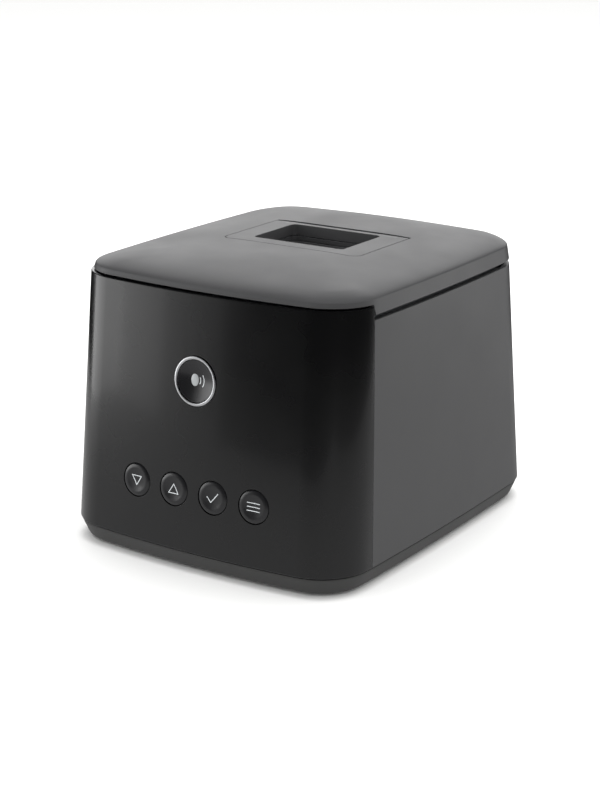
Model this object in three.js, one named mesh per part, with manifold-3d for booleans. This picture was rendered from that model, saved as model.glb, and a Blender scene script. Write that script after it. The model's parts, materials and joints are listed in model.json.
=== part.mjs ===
// A home CPAP machine with a built-in heated humidifier.
// Lengths are millimetres. X is to the right, the front faces -Y, Z is up, and the feet stand on z = 0.
import * as THREE from "three";
import { mergeVertices } from "three/addons/utils/BufferGeometryUtils.js";
import Module from "manifold-3d";

const wasm = await Module();
wasm.setup();

// Clearances that every fit shares
const fit = 0.35;
const seat = 0.4;
const overrun = 2;
const weldDistance = 1e-5;

// Body: the tapered box that the shell, front panel, tray and lid follow
const bodyWidth = 178;
const bodyDepth = 213.4;
const bodyCornerRadius = 28;
const smallestRadius = 2;
const faceBow = 3.4;
const sideBow = 1.5;
const sideLeanShare = 0.02;
const frontLeanShare = 0.092;
const rearLeanShare = 0.11;
const shellWall = 2.6;
const panelWall = 2.4;

// Heights of the seams, from the floor
const lowerSeam = 10.5;
const lidTop = 151.5;
const lidSideDrop = 15.9;
const lidFrontDrop = 9.5;
const sideRimHeight = lidTop - lidSideDrop;
const frontRimHeight = lidTop - lidFrontDrop;
const fingerGap = 2.4;
const frontLipGap = 0.9;

// The upright seam between the front panel and the shell
const uprightSeamInset = 34.3;
const uprightSeamFoot = uprightSeamInset - bodyDepth / 2;
const uprightSeamLeanShare = 0.034;

// Tray
const trayBottom = 1.5;
const trayBevel = 4.3;
const trayInset = 0.5;
const trayFloor = 2.4;
const footRadius = 8;
const footHeight = 2.2;
const footSideInset = 33;
const footEndInset = 34.7;
const footX = bodyWidth / 2 - footSideInset;
const footY = bodyDepth / 2 - footEndInset;

// Legs of the chassis, and the screws that hold them
const legRadius = 4.5;
const legPlaceShare = 0.4045;
const legFrontInset = 32.7;
const legRearInset = 40.7;
const legX = bodyWidth * legPlaceShare;
const legFrontY = legFrontInset - bodyDepth / 2;
const legRearY = bodyDepth / 2 - legRearInset;
const legBossRadius = 6.2;
const legBossTop = 8;
const screwHeadRadius = 3.4;
const screwHeadHeight = 2.2;
const screwHeadSink = 0.3;
const screwRadius = 1.5;
const screwLength = 14;

// Chassis: deck, rim and chamber bay
const deckDrop = 25.5;
const deckHeight = lidTop - deckDrop;
const deckThickness = 2.4;
const deckInset = 4.4;
const rimInset = 5.6;
const rimWall = 2.2;
const baySideInset = 27;
const bayFrontInset = 36.7;
const bayRearInset = 50.7;
const bayHalfWidth = bodyWidth / 2 - baySideInset;
const bayFront = bayFrontInset - bodyDepth / 2;
const bayRear = bodyDepth / 2 - bayRearInset;
const bayRadius = 10;
const bayWall = 2.2;
const bayFloorHeight = 60;
const bayFloor = 2.4;
const panMargin = 11.5;
const panRadius = Math.min(bayHalfWidth, (bayRear - bayFront) / 2) - panMargin;
const panDepth = 9;
const panBottom = bayFloorHeight - panDepth;
const heaterHoleStep = 5;
const heaterHoleRadius = panRadius - heaterHoleStep;

// Heater
const heaterRimGap = 1;
const heaterRadius = heaterHoleRadius - heaterRimGap;
const heaterRise = 7.4;
const heaterTop = bayFloorHeight + heaterRise;
const heaterThickness = 2.5;
const heaterFlangeWidth = 3.3;
const heaterFlangeThickness = 2.4;
const heaterSpringInset = 14.5;
const heaterSpringCircle = heaterRadius - heaterSpringInset;
const heaterSpringRadius = 3.2;
const springWireSides = 5;
const heaterSpringWire = 0.9;
const heaterSpringTurns = 4;

// Chamber
const chamberClearance = 1.5;
const chamberWall = 2;
const chamberFloorRise = 8.8;
const chamberFloorHeight = bayFloorHeight + chamberFloorRise;
const chamberFloor = 2.2;
const chamberPlateMargin = 1.5;
const chamberPlateRadius = heaterRadius + chamberPlateMargin;
const chamberPlateThickness = 0.7;
const chamberHoleStep = 1;
const chamberHoleRadius = heaterRadius - chamberHoleStep;
const coverHeight = 27;
const chamberTop = deckHeight - seat;
const tubTop = chamberTop - coverHeight;
const chamberSealHeight = 1.6;
const coverRounding = 3;
const outletRadius = 11.5;
const inletPlaceShare = 0.5161;
const inletX = -bayHalfWidth * inletPlaceShare;
const inletDrop = 13.1;
const inletHeight = chamberTop - inletDrop;
const inletRadius = 8;

// Room round the lid's well in the chamber cover, with more at the front, where the well swings
const pocketSideRoom = 1.5;
const pocketFrontRoom = 2.8;

// Lid
const lidWall = 2.6;
const creaseRise = 7;
const creaseSideInset = 1.6;
const creaseFrontInset = 3;
const creaseRearInset = 0.6;
const pillowSideMargin = 27;
const pillowFrontMargin = 48.7;
const pillowSideReach = bodyWidth / 2 - pillowSideMargin;
const pillowFrontReach = bodyDepth / 2 - pillowFrontMargin;
const pillowRearReach = 22;
const pillowPower = 1.8;
const linerThickness = 2.2;
const linerInset = 4.6;
const linerPostRadius = 3;
const linerPostSideInset = 31;
const linerPostEndInset = 44.7;
const linerPostX = bodyWidth / 2 - linerPostSideInset;
const linerPostY = bodyDepth / 2 - linerPostEndInset;
const linerPostHeight = 4.4;

// Well and handle
const wellHalfWidth = 28;
const wellLength = 39;
const wellRearInset = 25;
const wellRear = bayRear - wellRearInset;
const wellFront = wellRear - wellLength;
const wellRadius = 3;
const wellWall = 2.2;
const wellDepth = 34;
const wellFloorBottom = lidTop - wellDepth;
const wellFloor = 2.4;
const handleThickness = 6;
const handleArm = 14;
const handleGrip = 8.5;
const handleCornerRadius = 5;
const handleHeelRadius = 2.5;
const handleGap = 0.5;
const handleBed = 2.4;
const handlePinRadius = 1.2;
const handlePinInLid = 3.2;
const handlePinInArm = 3;

// Hose port: the outer cone of a 22 mm breathing tube fitting
const portTopRadius = 10.8;
const portFootRadius = 11;
const portBoreRadius = 8.5;
const portHeight = 16;
const portFlangeRadius = 13.6;
const portFlange = 1.8;
const portSpigotRadius = 10.2;
const portSealHeight = 2.8;
const portCollar = 1.1;

// Lid hinge at the rear edge
const hingeSideInset = 40;
const hingeX = bodyWidth / 2 - hingeSideInset;
const hingeKnuckleRadius = 3.4;
const hingePinRadius = 1.5;
const lidKnuckleLength = 9.2;
const shellKnuckleLength = 6;
const hingeNotchGap = 0.8;
const hingeWeb = 6;

// Front controls, measured in the plane of the front face from its foot
const startHeightShare = 0.6745;
const startHeight = (frontRimHeight - lowerSeam) * startHeightShare;
const startRingRadius = 12.5;
const startRingWidth = 1.5;
const startRingProud = 0.6;
const buttonHeight = 31.5;
const buttonPitchShare = 0.1354;
const buttonPitch = bodyWidth * buttonPitchShare;
const buttonRowX = 1.2;
const buttonRadiusShare = 0.3548;
const buttonRadius = buttonPitch * buttonRadiusShare;
const buttonDish = 0.6;
const buttonProud = 0.5;
const startDish = 1.87;
const flangeDepth = 3.3;
const flangeThickness = 1;
const flangeWidth = 1.6;
const stemRadius = 3.5;
const stemReach = 7;
const buttonTravel = 0.5;
const membraneFace = 8.9;
const membraneThickness = 1.2;
const domeRadius = 4.6;
const boardDepth = 10.4;
const boardThickness = 1.6;
const boardFoot = 22;
const boardHeadRoom = 15.3;
const boardHead = startHeight + boardHeadRoom;
const displayFootRoom = 18.5;
const displayHeadRoom = 16.7;
const displaySideRoom = 18;
const displayFoot = buttonHeight + displayFootRoom;
const displayHead = startHeight - displayHeadRoom;
const displayDepth = 5.2;
const panelPostRadius = 3;
const panelPostGap = 0.5;

// Blower
const blowerPlaceShare = 0.16854;
const blowerRadiusShare = 0.20225;
const blowerRearInset = 84.7;
const blowerX = -bodyWidth * blowerPlaceShare;
const blowerY = bodyDepth / 2 - blowerRearInset;
const blowerRadius = bodyWidth * blowerRadiusShare;
const blowerBottom = 10;
const blowerTop = 38;
const blowerWall = 2;
const nozzleInset = 10;
const nozzleOffset = blowerRadius - nozzleInset;
const nozzleHeight = 25;
const nozzleOverhang = 2;
const nozzleEnd = bayRear + nozzleOverhang;
const ductRadius = 8;
const ductWall = 1.7;
const ductBend = 14;
const blowerEarRadius = 6;
const blowerEarOverhang = 3;
const blowerEarReach = blowerRadius + blowerEarOverhang;
const blowerEarThickness = 3;
const eyeRadius = 14;
const eyeWall = 2.4;
const eyeHeight = 5;
const motorRadius = 15;
const motorTop = 24.2;
const shaftRadius = 2;
const impellerRimRoom = 8.5;
const impellerRadius = blowerRadius - impellerRimRoom;
const impellerDisc = 1.6;
const impellerTop = 36;
const hubRadius = 6;
const bladeThickness = 1.3;
const bladeSweep = 1.1;

// Boards in the tray
const boardRest = 9;
const mainBoardSideInset = 25;
const mainBoardFrontInset = 22.7;
const mainBoardRearRoom = 14;
const mainBoard = {
  left: mainBoardSideInset - bodyWidth / 2,
  right: 4,
  front: mainBoardFrontInset - bodyDepth / 2,
  rear: blowerY - blowerRadius - mainBoardRearRoom,
};
const powerBoardSideInset = 23;
const powerBoardFrontInset = 40.7;
const powerBoardRearInset = 46.7;
const powerBoard = {
  left: 12,
  right: bodyWidth / 2 - powerBoardSideInset,
  front: powerBoardFrontInset - bodyDepth / 2,
  rear: bodyDepth / 2 - powerBoardRearInset,
};
const boardEdge = 4;
const standoffRadius = 3;
const chipHeight = 2.2;
const connectorHeight = 7;
const heatSinkHeight = 24;
const transformerHeight = 24;
const capacitorHeight = 28;

// Parts on the power board, as shares of its width and length
const powerPartShare = 0.5926;
const transformerHalfShare = 0.2963;
const transformerPlaceShare = 0.6825;
const capacitorRadiusShare = 0.1667;
const capacitorPlaceShare = 0.2381;

// Blocks on the boards, as shares of a board's width and length
const mainBoardShares = [[0.55, 0.8, 0.35, 0.65], [0.15, 0.35, 0.5, 0.8], [0.4, 0.7, 0.85, 0.95]];
const powerBoardShares = [[0.08, 0.14, 0.3, 0.7], [0.6, 0.85, 0.86, 0.94], [0.3, 0.6, 0.06, 0.12]];

// Ribbon between the control board and the main board
const ribbonWidth = 16;
const ribbonThickness = 0.6;
const ribbonLift = 1.6;
const ribbonSlack = 6;
const ribbonReachShare = 0.2143;

// Rear face: filter and power inlet, measured in the plane of the rear face from its foot
const filterPlaceShare = 0.045;
const filterHalfShare = 0.1292;
const filterX = -bodyWidth * filterPlaceShare;
const filterHalfWidth = bodyWidth * filterHalfShare;
const filterFoot = 10;
const filterHead = 40;
const filterCoverThickness = 3;
const filterFoam = 7;
const filterFrameWall = 2;
const slotWidth = 3;
const slotBar = 2.4;
const socketPlaceShare = 0.236;
const socketX = bodyWidth * socketPlaceShare;
const socketHalfWidth = 13.6;
const socketFoot = 12;
const socketHead = 32;
const socketFlange = 1.6;
const socketLength = 22;
const socketRecess = 15;
const socketWall = 2;
const bladeHalfWidth = 1;
const bladeHalfHeight = 2;
const bladeSpacing = 7;
const bladeRaise = 2;
const bladeSink = 3;

// Counts of the facets
const bowSteps = 3;
const cornerSteps = 4;
const roundSides = 20;
const smallSides = 10;
const wideSides = 32;
const pillowTurnShares = [0, 0.11, 0.22, 0.34, 0.5, 0.67, 0.83, 1];
const hollowTurnShares = [0, 0.3, 0.6, 1];
const turn = Math.PI * 2;

// Finishes
const satinCharcoal = { color: 0x3c3c3e, roughness: 0.5, metalness: 0 };
const glossBlack = { color: 0x1c1c1e, roughness: 0.15, metalness: 0 };
const trayGrey = { color: 0x2e2d2b, roughness: 0.6, metalness: 0 };
const keyBlack = { color: 0x151516, roughness: 0.4, metalness: 0 };
const brightChrome = { color: 0xb9babd, roughness: 0.18, metalness: 1 };
const steelGrey = { color: 0x9a9ca0, roughness: 0.35, metalness: 1 };
const aluminiumGrey = { color: 0xb4b6b8, roughness: 0.4, metalness: 1 };
const innerGrey = { color: 0x55575a, roughness: 0.6, metalness: 0 };
const liningGrey = { color: 0x303133, roughness: 0.6, metalness: 0 };
const clearPlastic = { color: 0xbfd3dc, roughness: 0.1, metalness: 0 };
const sealBlue = { color: 0x5f8fae, roughness: 0.7, metalness: 0 };
const rubberBlack = { color: 0x1a1a1a, roughness: 0.85, metalness: 0 };
const siliconeGrey = { color: 0x8d9194, roughness: 0.75, metalness: 0 };
const boardGreen = { color: 0x1e5a3a, roughness: 0.5, metalness: 0 };
const lensWhite = { color: 0xdfe3e6, roughness: 0.2, metalness: 0 };
const foamGrey = { color: 0x6f7275, roughness: 0.95, metalness: 0 };
const ribbonGrey = { color: 0xa6a8aa, roughness: 0.6, metalness: 0 };
const ferriteYellow = { color: 0xb08a2a, roughness: 0.6, metalness: 0 };
const sleeveBlue = { color: 0x24406a, roughness: 0.4, metalness: 0 };

// Values worked out from the sizes above
const lidRimHeight = sideRimHeight + fingerGap;
const frontLipHeight = frontRimHeight + frontLipGap;
const shellFoot = lowerSeam + fit;
const hingeHeight = sideRimHeight + fingerGap / 2;
const hingeY = rearAt(sideRimHeight) - bowAt(hingeX);
const wellY = (wellFront + wellRear) / 2;
const bayY = (bayFront + bayRear) / 2;
const handleAxisY = wellRear + handleThickness / 2;
const handleAxisHeight = lidTop - handleThickness / 2;
const handleHalfWidth = wellHalfWidth + handleArm;
const handleFront = wellFront - handleGrip;
const handleRear = wellRear + handleThickness;
const handleBedHeight = lidTop - handleThickness - seat;
const linerHeight = lidRimHeight + seat;
const pocketFloorTop = wellFloorBottom - portSealHeight - portCollar - seat * 2;
const buttonPlaces = [-1.5, -0.5, 0.5, 1.5].map((step) => buttonRowX + step * buttonPitch);
const buttonRowEnd = Math.max(...buttonPlaces) + buttonRadius + flangeWidth;
const panelPostX = buttonRowEnd + panelPostGap + panelPostRadius;
const boardHalfWidth = panelPostX + panelPostRadius;
const displayHalfWidth = boardHalfWidth - displaySideRoom;
const powerWidth = powerBoard.right - powerBoard.left;
const powerLength = powerBoard.rear - powerBoard.front;
const powerPartX = powerBoard.left + powerWidth * powerPartShare;
const transformerHalf = powerWidth * transformerHalfShare;
const transformerY = powerBoard.front + powerLength * transformerPlaceShare;
const capacitorRadius = powerWidth * capacitorRadiusShare;
const capacitorY = powerBoard.front + powerLength * capacitorPlaceShare;
const frontLean = Math.atan(frontLeanShare);
const rearLean = Math.atan(rearLeanShare);

/** Half of the body's width at a height. */
function halfWidthAt(z) {
  return bodyWidth / 2 - sideLeanShare * (z - lowerSeam);
}

/** Distance from the middle to the front face at a height. */
function frontAt(z) {
  return bodyDepth / 2 - frontLeanShare * (z - lowerSeam);
}

/** Distance from the middle to the rear face at a height. */
function rearAt(z) {
  return bodyDepth / 2 - rearLeanShare * (z - lowerSeam);
}

/** Place of the upright seam along Y at a height. */
function uprightSeamAt(z) {
  return uprightSeamFoot + uprightSeamLeanShare * (z - lowerSeam);
}

/** How far the bowed front or rear face lies behind its middle at a distance from the middle. */
function bowAt(x) {
  const reach = bodyWidth / 2 - sideBow - bodyCornerRadius;
  return faceBow * (x / reach) ** 2;
}

/** The slope of that bow, as an angle. */
function bowAngleAt(x) {
  const reach = bodyWidth / 2 - sideBow - bodyCornerRadius;
  return Math.atan((2 * faceBow * x) / reach ** 2);
}

/** A rounded rectangle whose sides bow out, as points that run anticlockwise from the front left. */
function outline(halfWidth, front, rear, radius) {
  const a = halfWidth - sideBow;
  const corners = [
    [a - radius, -front + faceBow + radius, -0.25],
    [a - radius, rear - faceBow - radius, 0],
    [-a + radius, rear - faceBow - radius, 0.25],
    [-a + radius, -front + faceBow + radius, 0.5],
  ];
  const bows = [sideBow, faceBow, sideBow, faceBow];
  const points = [];
  corners.forEach(([x, y, start], side) => {
    for (let step = 0; step <= cornerSteps; step += 1) {
      const angle = (start + (step / cornerSteps) * 0.25) * turn;
      points.push(new THREE.Vector2(x + radius * Math.cos(angle), y + radius * Math.sin(angle)));
    }
    const next = corners[(side + 1) % corners.length];
    const leave = new THREE.Vector2(Math.cos((start + 0.25) * turn), Math.sin((start + 0.25) * turn));
    const from = new THREE.Vector2(x, y).addScaledVector(leave, radius);
    const to = new THREE.Vector2(next[0], next[1]).addScaledVector(leave, radius);
    for (let step = 1; step < bowSteps; step += 1) {
      const share = step / bowSteps;
      const out = bows[side] * (1 - (2 * share - 1) ** 2);
      points.push(from.clone().lerp(to, share).addScaledVector(leave, out));
    }
  });
  return points;
}

/** The body's section at a height, drawn in by an inset. */
function bodyOutline(z, inset) {
  const radius = Math.max(bodyCornerRadius - inset, smallestRadius);
  return outline(halfWidthAt(z) - inset, frontAt(z) - inset, rearAt(z) - inset, radius);
}

/** A closed solid through sections that all have the same count of points. */
function loft(levels) {
  const count = levels[0].points.length;
  const positions = [];
  const triangles = [];
  levels.forEach(({ z, points }) => points.forEach((point) => positions.push(point.x, point.y, z)));
  for (let level = 0; level + 1 < levels.length; level += 1) {
    for (let index = 0; index < count; index += 1) {
      const a = level * count + index;
      const b = level * count + ((index + 1) % count);
      triangles.push(a, b, b + count, a, b + count, a + count);
    }
  }
  const closeWith = (level, upward) => {
    const centre = positions.length / 3;
    const mean = new THREE.Vector2();
    level.points.forEach((point) => mean.addScaledVector(point, 1 / count));
    positions.push(mean.x, mean.y, level.z);
    const start = upward ? (levels.length - 1) * count : 0;
    for (let index = 0; index < count; index += 1) {
      const a = start + index;
      const b = start + ((index + 1) % count);
      triangles.push(centre, upward ? a : b, upward ? b : a);
    }
  };
  closeWith(levels[0], false);
  closeWith(levels[levels.length - 1], true);
  const geometry = new THREE.BufferGeometry();
  geometry.setAttribute("position", new THREE.Float32BufferAttribute(positions, 3));
  geometry.setIndex(triangles);
  return geometry;
}

/** A solid that follows the body between two heights, drawn in by an inset. */
function bodyBlock(bottom, top, inset) {
  return solid(loft([
    { z: bottom, points: bodyOutline(bottom, inset) },
    { z: top, points: bodyOutline(top, inset) },
  ]));
}

/** Turns a closed three.js geometry into a solid that can be joined and cut. */
function solid(geometry) {
  const bare = new THREE.BufferGeometry();
  bare.setAttribute("position", geometry.getAttribute("position").clone());
  if (geometry.index) bare.setIndex(geometry.index.clone());
  const merged = mergeVertices(bare, weldDistance);
  const place = merged.getAttribute("position");
  const index = merged.index.array;
  const corner = [new THREE.Vector3(), new THREE.Vector3(), new THREE.Vector3()];
  const kept = [];
  let volume = 0;
  for (let first = 0; first < index.length; first += 3) {
    const trio = [index[first], index[first + 1], index[first + 2]];
    if (trio[0] === trio[1] || trio[1] === trio[2] || trio[2] === trio[0]) continue;
    trio.forEach((vertex, side) => corner[side].fromBufferAttribute(place, vertex));
    volume += corner[0].dot(corner[1].clone().cross(corner[2]));
    kept.push(trio);
  }
  const triVerts = new Uint32Array(kept.flatMap(([a, b, c]) => (volume < 0 ? [a, c, b] : [a, b, c])));
  const vertProperties = new Float32Array(place.array);
  return new wasm.Manifold(new wasm.Mesh({ numProp: 3, vertProperties, triVerts }));
}

/** Joins solids into one. */
function join(...solids) {
  return solids.reduce((whole, next) => whole.add(next));
}

/** Cuts the later solids out of the first. */
function cut(body, ...cutters) {
  return cutters.reduce((whole, next) => whole.subtract(next), body);
}

/** A named mesh with its own material, from a solid. */
function piece(name, body, finish) {
  const { numProp, vertProperties, triVerts } = body.getMesh();
  const geometry = new THREE.BufferGeometry();
  const positions = new Float32Array((vertProperties.length / numProp) * 3);
  for (let vertex = 0; vertex * 3 < positions.length; vertex += 1) {
    for (let axis = 0; axis < 3; axis += 1) {
      positions[vertex * 3 + axis] = vertProperties[vertex * numProp + axis];
    }
  }
  geometry.setAttribute("position", new THREE.BufferAttribute(positions, 3));
  geometry.setIndex(new THREE.BufferAttribute(new Uint32Array(triVerts), 1));
  geometry.computeVertexNormals();
  const mesh = new THREE.Mesh(geometry, new THREE.MeshStandardMaterial(finish));
  mesh.name = name;
  return mesh;
}

/** A box between two corners, as a geometry. */
function boxShape(x0, x1, y0, y1, z0, z1) {
  const shape = new THREE.BoxGeometry(x1 - x0, y1 - y0, z1 - z0);
  return shape.translate((x0 + x1) / 2, (y0 + y1) / 2, (z0 + z1) / 2);
}

/** A box between two corners. */
function box(x0, x1, y0, y1, z0, z1) {
  return solid(boxShape(x0, x1, y0, y1, z0, z1));
}

/** A round bar along X, Y or Z, as a geometry. */
function barShape(axis, radius, start, end, [u, v], sides = roundSides) {
  const shape = new THREE.CylinderGeometry(radius, radius, end - start, sides);
  shape.translate(0, (start + end) / 2, 0);
  if (axis === "x") return shape.rotateZ(-turn / 4).translate(0, u, v);
  if (axis === "y") return shape.translate(u, 0, v);
  return shape.rotateX(turn / 4).translate(u, v, 0);
}

/** A round bar along X, Y or Z, whose middle line runs through the other two coordinates. */
function bar(axis, radius, start, end, place, sides = roundSides) {
  return solid(barShape(axis, radius, start, end, place, sides));
}

/** A turned solid round the upright line through (x, y), from a profile of radius and height. */
function turned(profile, x, y, sides = roundSides) {
  const points = profile.map(([radius, height]) => new THREE.Vector2(radius, height));
  return solid(new THREE.LatheGeometry(points, sides).rotateX(turn / 4).translate(x, y, 0));
}

/** A turned solid round the Y axis, from a profile of radius and depth. */
function turnedInward(profile, sides = roundSides) {
  const points = profile.map(([radius, depth]) => new THREE.Vector2(radius, depth));
  return solid(new THREE.LatheGeometry(points, sides));
}

/** A rounded rectangle between two corners. */
function roundedShape(x0, x1, y0, y1, radius) {
  const shape = new THREE.Shape();
  shape.absarc(x1 - radius, y1 - radius, radius, 0, turn / 4);
  shape.absarc(x0 + radius, y1 - radius, radius, turn / 4, turn / 2);
  shape.absarc(x0 + radius, y0 + radius, radius, turn / 2, (turn * 3) / 4);
  shape.absarc(x1 - radius, y0 + radius, radius, (turn * 3) / 4, turn);
  return shape;
}

/** An upright block with a rounded rectangle as its plan. */
function roundedBlock(x0, x1, y0, y1, radius, bottom, top) {
  const shape = roundedShape(x0, x1, y0, y1, radius);
  const settings = { depth: top - bottom, bevelEnabled: false, curveSegments: cornerSteps / 2 };
  return solid(new THREE.ExtrudeGeometry(shape, settings).translate(0, 0, bottom));
}

/** A block along X between two places, whose end view is a list of (y, z) points. */
function sideBlock(points, start, end) {
  const shape = new THREE.Shape(points.map(([y, z]) => new THREE.Vector2(y, z)));
  const block = new THREE.ExtrudeGeometry(shape, { depth: end - start, bevelEnabled: false });
  return solid(block.rotateY(turn / 4).rotateX(turn / 4).translate(start, 0, 0));
}

/** All that lies in front of the upright seam, moved back by a shift. */
function frontOfSeam(shift) {
  const bottom = trayBottom - overrun;
  const top = lidTop + overrun;
  const far = -bodyDepth;
  return sideBlock([
    [uprightSeamAt(bottom) + shift, bottom],
    [uprightSeamAt(top) + shift, top],
    [far, top],
    [far, bottom],
  ], -bodyWidth, bodyWidth);
}

/** The leaning plane of the front face: X to the right, Y inward, Z up the face. */
function frontFrame() {
  const group = new THREE.Group();
  group.position.set(0, -frontAt(lowerSeam), lowerSeam);
  group.rotation.x = -frontLean;
  group.updateMatrix();
  return group;
}

/** The leaning plane of the rear face: X to the right as seen from the front, Y outward, Z up. */
function rearFrame() {
  const group = new THREE.Group();
  group.position.set(0, rearAt(lowerSeam), lowerSeam);
  group.rotation.x = rearLean;
  group.updateMatrix();
  return group;
}

/** A frame on the front face, square to the bowed surface at a place. */
function faceFrame(x, height) {
  const group = new THREE.Group();
  group.position.set(x, bowAt(x), height);
  group.rotation.z = bowAngleAt(x);
  group.updateMatrix();
  return group;
}

/** A frame on the rear face, square to the bowed surface at a place. */
function rearFaceFrame(x) {
  const group = new THREE.Group();
  group.position.set(x, -bowAt(x), 0);
  group.rotation.z = -bowAngleAt(x);
  group.updateMatrix();
  return group;
}

/** A geometry moved out of nested frames, the outermost first. */
function outOf(frames, geometry) {
  return solid(frames.reduceRight((shape, frame) => shape.applyMatrix4(frame.matrix), geometry));
}

// Tray and feet

/** The four places of the feet. */
function footPlaces() {
  return [
    ["fl", -footX, -footY],
    ["fr", footX, -footY],
    ["rl", -footX, footY],
    ["rr", footX, footY],
  ];
}

/** The four places of the chassis legs. */
function legPlaces() {
  return [
    ["fl", -legX, legFrontY],
    ["fr", legX, legFrontY],
    ["rl", -legX, legRearY],
    ["rr", legX, legRearY],
  ];
}

/** The four standoffs under a board. */
function standoffPlaces(board) {
  const xs = [board.left + boardEdge, board.right - boardEdge];
  const ys = [board.front + boardEdge, board.rear - boardEdge];
  return xs.flatMap((x) => ys.map((y) => [x, y]));
}

/** The three ears of the blower, as places round its middle. */
function earPlaces() {
  return [-0.25, 1 / 12, 5 / 12].map((share) => [
    blowerX + blowerEarReach * Math.cos(share * turn),
    blowerY + blowerEarReach * Math.sin(share * turn),
  ]);
}

function baseTray() {
  const top = lowerSeam - fit / 2;
  const floorTop = trayBottom + trayFloor;
  const outer = solid(loft([
    { z: trayBottom, points: bodyOutline(lowerSeam, trayBevel) },
    { z: top, points: bodyOutline(lowerSeam, trayInset) },
  ]));
  const hollow = solid(loft([
    { z: floorTop, points: bodyOutline(lowerSeam, trayBevel + shellWall - trayFloor / 2) },
    { z: top, points: bodyOutline(lowerSeam, trayInset + shellWall) },
    { z: top + overrun, points: bodyOutline(lowerSeam, trayInset + shellWall) },
  ]));
  let tray = cut(outer, hollow);
  for (const [, x, y] of legPlaces()) {
    tray = join(tray, bar("z", legBossRadius, trayBottom + trayFloor / 2, legBossTop, [x, y], smallSides));
  }
  for (const board of [mainBoard, powerBoard]) {
    for (const place of standoffPlaces(board)) {
      tray = join(tray, bar("z", standoffRadius, trayBottom + trayFloor / 2, boardRest, place, smallSides));
    }
  }
  for (const [, x, y] of footPlaces()) {
    const ceiling = footHeight + seat;
    tray = cut(tray, bar("z", footRadius + fit, trayBottom - overrun, ceiling, [x, y]));
  }
  for (const [, x, y] of legPlaces()) {
    const headTop = trayBottom + screwHeadSink + screwHeadHeight + fit;
    tray = cut(
      tray,
      bar("z", screwHeadRadius + fit, trayBottom - overrun, headTop, [x, y], smallSides),
      bar("z", screwRadius + fit, trayBottom, legBossTop + overrun, [x, y], smallSides),
    );
  }
  return piece("base_tray", tray, trayGrey);
}

function feet() {
  return footPlaces().map(([place, x, y]) => piece(
    `foot_${place}`,
    turned([
      [0, 0], [footRadius - footHeight / 4, 0], [footRadius, footHeight / 4],
      [footRadius, footHeight], [0, footHeight],
    ], x, y),
    rubberBlack,
  ));
}

function baseScrews() {
  return legPlaces().map(([place, x, y]) => {
    const bottom = trayBottom + screwHeadSink;
    const neck = bottom + screwHeadHeight;
    const screw = turned([[0, bottom + screwHeadHeight / 2], [screwRadius, bottom + screwHeadHeight / 2],
      [screwRadius, bottom], [screwHeadRadius, bottom], [screwHeadRadius, neck],
      [screwRadius, neck], [screwRadius, neck + screwLength], [0, neck + screwLength]], x, y, smallSides);
    return piece(`base_screw_${place}`, screw, steelGrey);
  });
}

// Body shell and front panel

/** Knuckles along X at both hinges, with webs that reach to a height. */
function knuckles(spans, webEnd) {
  const parts = [];
  for (const side of [-1, 1]) {
    for (const [start, end] of spans) {
      const near = side * hingeX + start;
      const far = side * hingeX + end;
      const low = Math.min(hingeHeight, webEnd);
      const high = Math.max(hingeHeight, webEnd);
      parts.push(bar("x", hingeKnuckleRadius, near, far, [hingeY, hingeHeight]));
      parts.push(box(near, far, hingeY - shellWall, hingeY + hingeKnuckleRadius / 2, low, high));
    }
  }
  return parts;
}

/** The room that the knuckles take out of a wall between two heights. */
function knuckleRoom(bottom, top) {
  const reach = lidKnuckleLength / 2 + shellKnuckleLength + hingeNotchGap;
  return [-1, 1].map((side) => box(
    side * hingeX - reach, side * hingeX + reach,
    hingeY - hingeKnuckleRadius - hingeNotchGap, hingeY + hingeKnuckleRadius * 2, bottom, top,
  ));
}

/** The bores of both hinges. */
function hingeBores() {
  const reach = lidKnuckleLength / 2 + shellKnuckleLength + overrun;
  return [-1, 1].map((side) => bar(
    "x", hingePinRadius + fit, side * hingeX - reach, side * hingeX + reach,
    [hingeY, hingeHeight], smallSides,
  ));
}

/** The tongue behind the upright seam, which closes it from inside. */
function seamTongue() {
  const bottom = shellFoot;
  const top = sideRimHeight;
  const inner = shellWall + panelWall / 2;
  const room = bodyBlock(bottom - overrun, top + overrun, inner);
  const band = (outerInset) => cut(bodyBlock(bottom, top, outerInset), room);
  const behind = (shift, reach) => cut(frontOfSeam(reach), frontOfSeam(shift));
  const root = band(shellWall - fit).intersect(behind(fit, panelWall * 2));
  const tongue = band(panelWall + fit).intersect(behind(-panelWall * 2, panelWall * 2));
  return join(root, tongue);
}

/** The frame inside the rear wall that holds the filter. */
function filterFrame(rear) {
  const depth = filterCoverThickness + filterFoam + seat;
  const wall = filterFrameWall;
  const outside = boxShape(
    -filterHalfWidth - wall, filterHalfWidth + wall, -depth, -shellWall / 2 - fit,
    filterFoot - wall, filterHead + wall,
  );
  return outOf([rear, rearFaceFrame(filterX)], outside);
}

/** The room for the filter and its cover. */
function filterRoom(rear) {
  const room = boxShape(
    -filterHalfWidth, filterHalfWidth, -filterCoverThickness - filterFoam - seat - overrun, overrun,
    filterFoot, filterHead,
  );
  return outOf([rear, rearFaceFrame(filterX)], room);
}

/** The ledges inside the walls that the chassis deck rests on. */
function deckLedges() {
  const top = deckHeight - seat;
  const bottom = top - deckThickness * 2;
  const half = deckThickness;
  const parts = [];
  for (const side of [-1, 1]) {
    for (const y of [bayFront / 2, bayRear]) {
      const wall = side * (halfWidthAt(deckHeight) - sideBow - shellWall / 2);
      const tip = side * (halfWidthAt(deckHeight) - deckInset * 2.5);
      parts.push(box(Math.min(wall, tip), Math.max(wall, tip), y - half, y + half, bottom, top));
    }
  }
  return parts;
}

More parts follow.
